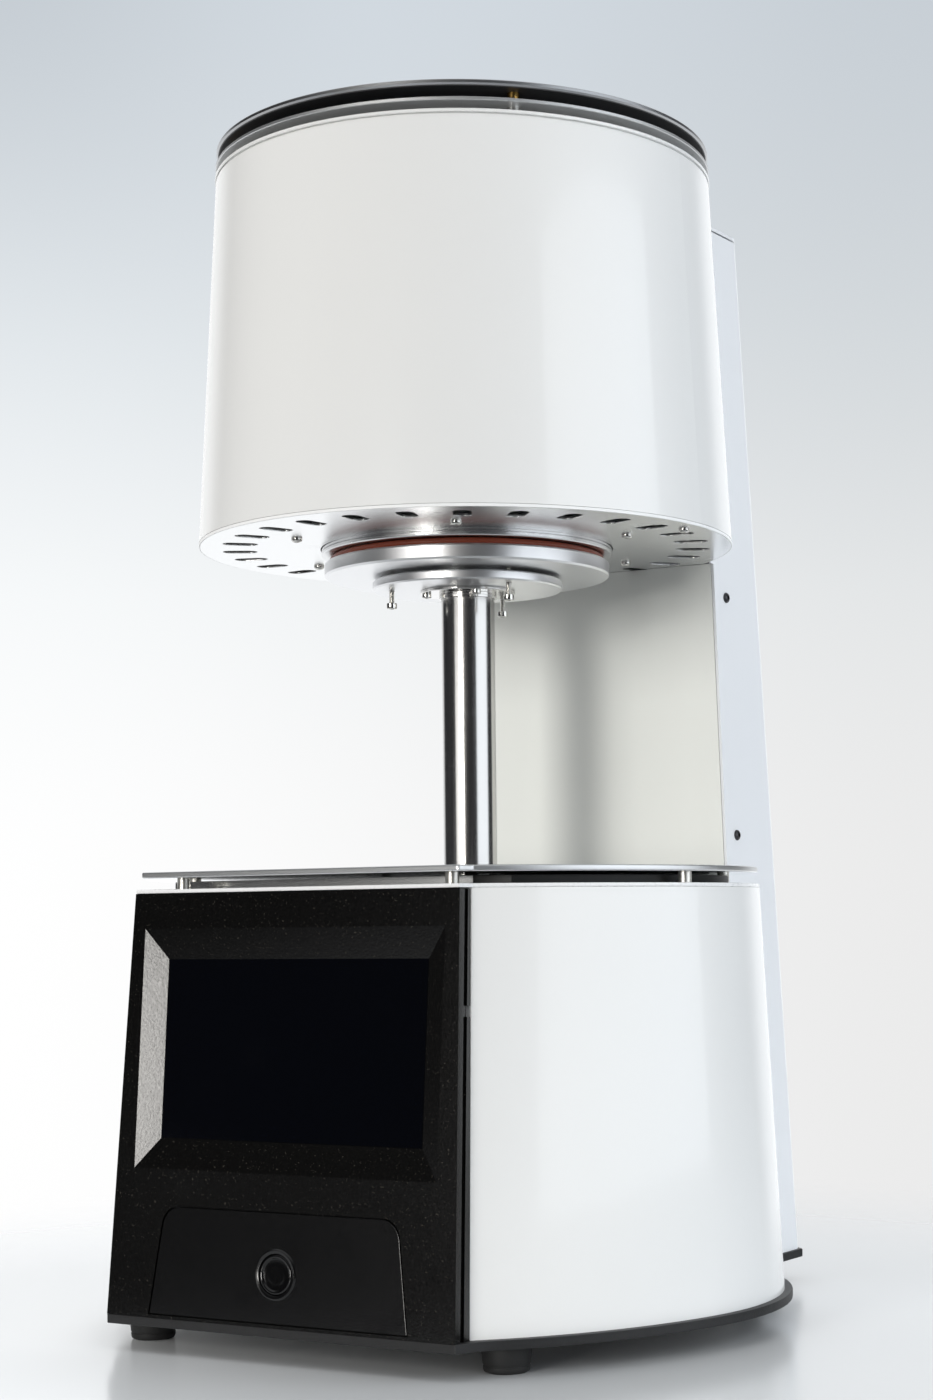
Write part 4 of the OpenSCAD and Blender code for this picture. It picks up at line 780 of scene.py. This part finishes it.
def buttonHeadScrews():
    values = {"heights": (251, 383), "y": 127, "halfLow": 101, "halfTop": 80.4, "columnLow": 17.5,
              "columnTall": 572.5}
    screw = turned("screw", [(1.5, -8), (1.5, 0.02), (2.9, 0.02), (2.9, 0.5), (2.55, 1.05), (1.9, 1.5),
                             (1.45, 1.66)], 40)
    hexSocket(screw, 1.15, 0.7, 3)
    eased(screw, 0.06, 25, 1)
    tilt = math.atan((values["halfLow"] - values["halfTop"]) / values["columnTall"])
    screws = []
    for z in values["heights"]:
        half = values["halfLow"] - (z - values["columnLow"]) * math.tan(tilt)
        for side in (-1, 1):
            where = shift(side * (half + 0.1), values["y"], z) @ spin(side * (math.pi / 2 - tilt), "Y")
            screws.append(copyTo(screw, "screw", where))
    discard(screw)
    finished(place(joined("columnScrews", screws), liftAxis), "column_screws", blackOxide)


def sealRing():
    values = {"major": 70.3, "minor": 2.0, "height": 395.2, "flash": 0.12}
    piece = primitive("torus", "sealRing", major_segments=128, minor_segments=20,
                      major_radius=values["major"] * mm, minor_radius=values["minor"] * mm)
    outer = (values["major"] + values["minor"] * 0.93) * mm
    pickFaces(piece, lambda middle, normal: math.hypot(middle.x, middle.y) > outer)
    inset(0.2 * mm)  # moulding flash round the outside
    wider = (outer + values["flash"] * mm) / outer
    bpy.ops.transform.resize(value=(wider, wider, 0.6), center_override=(0, 0, 0))
    bpy.ops.object.mode_set(mode="OBJECT")
    closeUp(piece)
    smooth(piece, 40)
    place(piece, liftAxis @ shift(0, 0, values["height"]))
    finished(piece, "seal_ring", silicone)


def heatingCoil():
    values = {"radius": 48.4, "wire": 1.8, "low": 419, "pitch": 7.11, "turns": 9, "lead": 1.5, "top": 559}
    radius, low, lead, top = values["radius"], values["low"], values["lead"], values["top"]
    coil = helix("coil", radius, values["wire"], values["pitch"], values["turns"], 10, 40)
    place(coil, shift(0, 0, low))
    smooth(coil, 60)
    parts = [coil]
    for side, start in ((-1, low + values["pitch"] * values["turns"]), (1, low)):
        wire = turned("lead", [(lead, start), (lead, top - 0.4), (lead - 0.4, top)], 16)
        smooth(wire, 40)
        parts.append(place(wire, shift(side * radius, 0, 0)))
    finished(place(joined("heatingCoil", parts), liftAxis), "heating_coil", looks["heating_coil"])


def leadScrew():
    values = {"radius": 5, "foot": 20.3, "lead": 10, "low": 27.3, "thread": 36, "top": 184.3, "starts": 4,
              "rib": 0.72}
    radius, low, thread, top = values["radius"], values["low"], values["thread"], values["top"]
    body = turned("shaft", [(radius - 1, values["foot"]), (radius - 1, low), (radius, low), (radius, thread),
                            (radius - 0.8, thread + 1), (radius - 0.8, top - 0.6), (radius - 1.4, top)], 40)
    smooth(body, 30)
    turns = int((top - thread - 2) / values["lead"])
    parts = [body]
    for start in range(values["starts"]):
        rib = helix("rib", radius - 0.75, values["rib"], values["lead"], turns, 6, 28)
        place(rib, shift(0, 0, thread + 1) @ spin(start * 2 * math.pi / values["starts"]))
        smooth(rib, 50)
        parts.append(rib)
    finished(place(joined("leadScrew", parts), liftAxis), "lead_screw", toolSteel)


def driveBelt():
    values = {"big": 14.32, "small": 7.64, "away": (62, 20), "gap": 0.3, "thick": 1.5, "low": 29.3, "wide": 6,
              "rib": 0.25, "pitch": 3}
    belt = bpy.data.objects.new("belt", nodes["drive_belt"].data.copy())
    bpy.context.scene.collection.objects.link(belt)
    closeUp(belt)
    x, y = values["away"]
    span, heading = math.hypot(x, y), math.atan2(y, x)
    spread = math.acos((values["big"] - values["small"]) / span)
    out = values["gap"] + values["thick"] - 0.05
    big, small = values["big"] + out, values["small"] + out
    spots = []
    for middle, radius, first, last in (((0, 0), big, heading + spread, heading + 2 * math.pi - spread),
                                        ((x, y), small, heading - spread, heading + spread)):
        count = int((last - first) * radius / values["pitch"])
        for i in range(count):
            a = first + (last - first) * (i + 0.5) / count
            spots.append((middle[0] + radius * math.cos(a), middle[1] + radius * math.sin(a), a))
    for side in (-1, 1):
        a = heading + side * spread
        start = (big * math.cos(a), big * math.sin(a))
        end = (x + small * math.cos(a), y + small * math.sin(a))
        count = int(math.dist(start, end) / values["pitch"])
        for i in range(count):
            t = (i + 0.5) / count
            spots.append((start[0] + (end[0] - start[0]) * t, start[1] + (end[1] - start[1]) * t, a))
    rib = block("rib", (values["rib"] * 2, 1.1, values["wide"] - 0.5))
    eased(rib, 0.12, 30, 1)
    level = values["low"] + values["wide"] / 2
    ribs = [copyTo(rib, "rib", liftAxis @ shift(px, py, level) @ spin(a)) for px, py, a in spots]
    discard(rib)
    piece = joined("driveBelt", [belt] + ribs)
    smooth(piece, 30)
    finished(piece, "drive_belt", beltRubber)


def vacuumHose():
    values = {"radius": 6, "bore": 4.1, "bend": 12, "low": 347.5, "high": 523, "straight": 6, "band": 0.5,
              "bandHalf": 1.6, "bandIn": 4.5}
    near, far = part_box("vacuum_hose")
    start, end = near[1] - axisY, far[1] - axisY
    radius, half, bend = values["radius"], values["bandHalf"], values["bend"] * mm
    low, high = values["low"] * mm, values["high"] * mm
    drop = end - values["straight"] * mm - bend
    ring = primitive("circle", "vacuumHose", vertices=28, radius=radius * mm, fill_type="NOTHING",
                     location=(0, start, high), rotation=(math.pi / 2, 0, 0))
    pickAll(place(ring, Matrix.Identity(4)))
    extrude(y=drop - bend - start)
    bpy.ops.mesh.spin(steps=12, angle=math.pi / 2, center=(0, drop - bend, high - bend), axis=(-1, 0, 0))
    for part in range(4):
        extrude(z=(low + bend - high + bend) / 4)
    bpy.ops.mesh.spin(steps=12, angle=math.pi / 2, center=(0, drop + bend, low + bend), axis=(1, 0, 0))
    extrude(y=end - drop - bend)
    bpy.ops.object.mode_set(mode="OBJECT")
    closeUp(ring)
    modify(ring, "SOLIDIFY", thickness=(radius - values["bore"]) * mm, offset=1)
    eased(ring, 0.3, 40)
    parts = [ring]
    for y, z in ((start + values["bandIn"] * mm, high), (end - values["bandIn"] * mm, low)):  # spring clamps
        band = turned("clamp", [(radius - 0.1, -half), (radius + values["band"], -half),
                                (radius + values["band"], half), (radius - 0.1, half)], 40, hollow=True)
        eased(band, 0.15)
        parts.append(place(band, Matrix.Translation((0, y, z)) @ spin(math.pi / 2, "X")))
    finished(place(joined("vacuumHose", parts), liftAxis), "vacuum_hose", hoseRubber)


def firingTray():
    values = {"radius": 40.6, "low": 413}
    r, z = values["radius"], values["low"]
    piece = turned("firingTray", [(0.5, z), (r - 1.2, z), (r, z + 1.1), (r, z + 5.2), (r - 0.6, z + 5.5),
                                  (r - 2.1, z + 5.5), (r - 2.6, z + 5.1), (r - 3.6, z + 3), (r * 0.62, z + 3),
                                  (r * 0.6, z + 2.6), (0.5, z + 2.6)], 72)
    eased(piece, 0.3, 25)
    finished(place(piece, liftAxis), "firing_tray", ceramic)


for make in (startButton, rubberFeet, levellingScrews, panHeadScrews, buttonHeadScrews, sealRing, heatingCoil,
             leadScrew, driveBelt, vacuumHose, firingTray):
    make()
    print("shaped", make.__name__)


# Camera, light and ground

def setCamera():
    values = {"eye": (0.7095, -1.0930, 0.2048), "right": (0.8672, 0.49782, -0.01205),
              "up": (0.02649, -0.02196, 0.99941), "lens": 63.2, "sensor": 36, "shift": (-0.1054, 0.1007)}
    lens = bpy.data.cameras.new("camera")
    lens.lens = values["lens"]
    lens.sensor_width = values["sensor"]
    lens.shift_x, lens.shift_y = values["shift"]
    camera = bpy.data.objects.new("camera", lens)
    bpy.context.scene.collection.objects.link(camera)
    right, up = Vector(values["right"]).normalized(), Vector(values["up"]).normalized()
    turn = Matrix((right, up, right.cross(up))).transposed().to_4x4()
    camera.matrix_world = Matrix.Translation(values["eye"]) @ turn
    bpy.context.scene.camera = camera


def setLamps():  # the soft ones are aimed at the part and aren't mirrored
    values = {
        "farPanel": {"azimuth": -16.0, "away": 5.0, "size": (1.95, 1.15), "height": 0.45, "power": 12,
                     "tint": (1.0, 0.99, 0.97)},
        "hotPanel": {"azimuth": 1.2, "away": 5.0, "size": (1.0, 1.15), "height": 0.45, "power": 62,
                     "tint": (1.0, 0.98, 0.94)},
        "sideBox": {"azimuth": 92, "away": 1.3, "size": (1.3, 1.0), "height": 0.55, "power": 6.4,
                    "tint": (0.9, 0.95, 1.0)},
        "keyLamp": {"azimuth": -3, "away": 2.5, "size": (0.75, 0.6), "height": 0.8, "power": 21,
                    "tint": (1.0, 0.985, 0.955), "soft": True},
        "fillLeft": {"azimuth": -62, "away": 2.1, "size": (2.2, 1.8), "height": 0.9, "power": 13,
                     "tint": (1.0, 0.99, 0.965), "soft": True},
        "fillRight": {"azimuth": 48, "away": 2.2, "size": (2.2, 1.8), "height": 0.9, "power": 6.4,
                      "tint": (0.95, 0.975, 1.0), "soft": True},
        "fillSide": {"azimuth": 114, "away": 1.6, "size": (1.4, 1.4), "height": 0.6, "power": 14,
                     "tint": (0.9, 0.95, 1.0), "soft": True},
        "fillTop": {"azimuth": 0, "away": 0.1, "size": (2.4, 2.4), "height": 2.3, "power": 11,
                    "tint": (0.97, 0.985, 1.0), "soft": True},
    }
    aimHeight = 0.3
    for name, box in values.items():
        a = math.radians(box["azimuth"])
        spot = Vector((math.sin(a) * box["away"], -math.cos(a) * box["away"], box["height"]))
        bpy.ops.object.light_add(type="AREA", location=spot)
        lamp = bpy.context.object
        lamp.name = name
        aim = Vector((0, 0, aimHeight if box.get("soft") else box["height"]))
        lamp.rotation_euler = (aim - spot).to_track_quat("-Z", "Y").to_euler()
        lamp.visible_camera = False
        lamp.visible_glossy = not box.get("soft")
        lamp.data.shape = "RECTANGLE"
        lamp.data.size, lamp.data.size_y = box["size"]
        lamp.data.energy = box["power"]
        lamp.data.color = box["tint"]


def acrossPicture(x, y):  # grows from the left of the picture to the right
    return x * 0.867 + y * 0.498


def setAir():  # the backdrop that the camera sees, and the room that the part mirrors
    values = {
        "sky": ((0.0, (1.0, 1.0, 1.0)), (0.25, (0.93, 0.95, 0.96)), (0.6, (0.77, 0.81, 0.84)),
                (1.0, (0.58, 0.63, 0.68))),
        "roomDark": (0.03, 0.03, 0.033), "roomLight": (0.97, 0.985, 1.0),
        "bands": ((-0.05, -0.045, -0.014, -0.008, 0.9), (0.005, 0.014, 0.09, 0.11, 0.22),
                  (0.043, 0.048, 0.055, 0.06, 0.55)),  # rise, full, fade, gone and level, for the riser
    }
    world = bpy.data.worlds.new("studioAir")
    bpy.context.scene.world = world
    g = Graph(world)
    x, y, z = g.axes()
    side = acrossPicture(x, y)
    sky = g.tones(g.step(z, 0.0, 0.40), *values["sky"])
    fall = 1 - g.step(side, -0.26, 0.16) * (0.17 - g.step(z, 0.15, 0.4) * 0.11)
    corners = g.step(side, -0.24, -0.08) * 0.2 - g.step(side, -0.04, 0.12) * 0.08 - 0.075
    fall = fall + g.step(z, 0.2, 0.42) * corners
    seen = g.node("ShaderNodeBackground", None, {"Color": sky, "Strength": fall})
    behind = x * -0.545 + y * 0.838  # along the view
    room = g.step(behind, 0.6, 0.85).orMore(g.step(z, 0.5, 0.9) * 0.6)
    room = room.orMore((1 - g.step(z, -0.2, 0.0)) * g.step(behind, -0.2, 0.3) * 0.85)
    along = x * 0.788 - y * 0.6157  # sine of the angle from azimuth -38
    low = g.step(z, 0.006, 0.01) * (1 - g.step(z, 0.024, 0.03)) * (1 - g.step(y, -0.5, -0.3))
    band = 0.0
    for rise, full, fade, gone, level in values["bands"]:
        band = g.step(along, rise, full) * (1 - g.step(along, fade, gone)) * level + band
    room = room.orMore(band * low)
    mirrored = g.node("ShaderNodeBackground", None, {
        "Color": g.mix(room, values["roomDark"], values["roomLight"]),
        "Strength": 1 + g.step(behind, 0.8, 0.97) * 0.12})
    seenRay = g.node("ShaderNodeLightPath", out="Is Camera Ray")
    direct = seenRay.orMore(g.node("ShaderNodeLightPath", out="Is Transmission Ray"))
    g.output(g.node("ShaderNodeMixShader", None, [direct, mirrored, seen]))


def setGround():  # a pale table that fades into the backdrop, with painted light on its left and painted shade from the middle to the right
    values = {"tint": (0.74, 0.755, 0.765), "paintedLight": 1.27, "dull": 0.84, "rough": 0.16}
    ground = primitive("circle", "ground", vertices=96, radius=3.0, fill_type="NGON")
    g = material("paleTable")
    x, y = g.axes()[:2]
    away = (x * x + y * y) ** 0.5
    fade = g.step(away + g.noise(3, 2) * 0.06, 0.3, 0.72)
    cloudy = g.noise(4, 3)
    # painted light and shade: the colour is lighter on the left of the picture and darker from the middle
    # rightwards
    along = g.step(acrossPicture(x, y), -0.22, 0.08)
    paintedLight, dull = toned(values["tint"], values["paintedLight"]), toned(values["tint"], values["dull"])
    top = g.node("ShaderNodeBsdfPrincipled", None, {
        "Base Color": g.mix(along + cloudy * 0.06, paintedLight, dull),
        "Roughness": values["rough"] + cloudy * 0.06, "Specular IOR Level": 0.5})
    clear = g.node("ShaderNodeBsdfTransparent")
    g.output(g.node("ShaderNodeMixShader", None, [fade, top, clear]))
    dress(ground, g.owner)


print("studio")
setCamera()
setLamps()
setAir()
setGround()
bpy.context.scene.view_settings.view_transform = "Standard"

print("done")
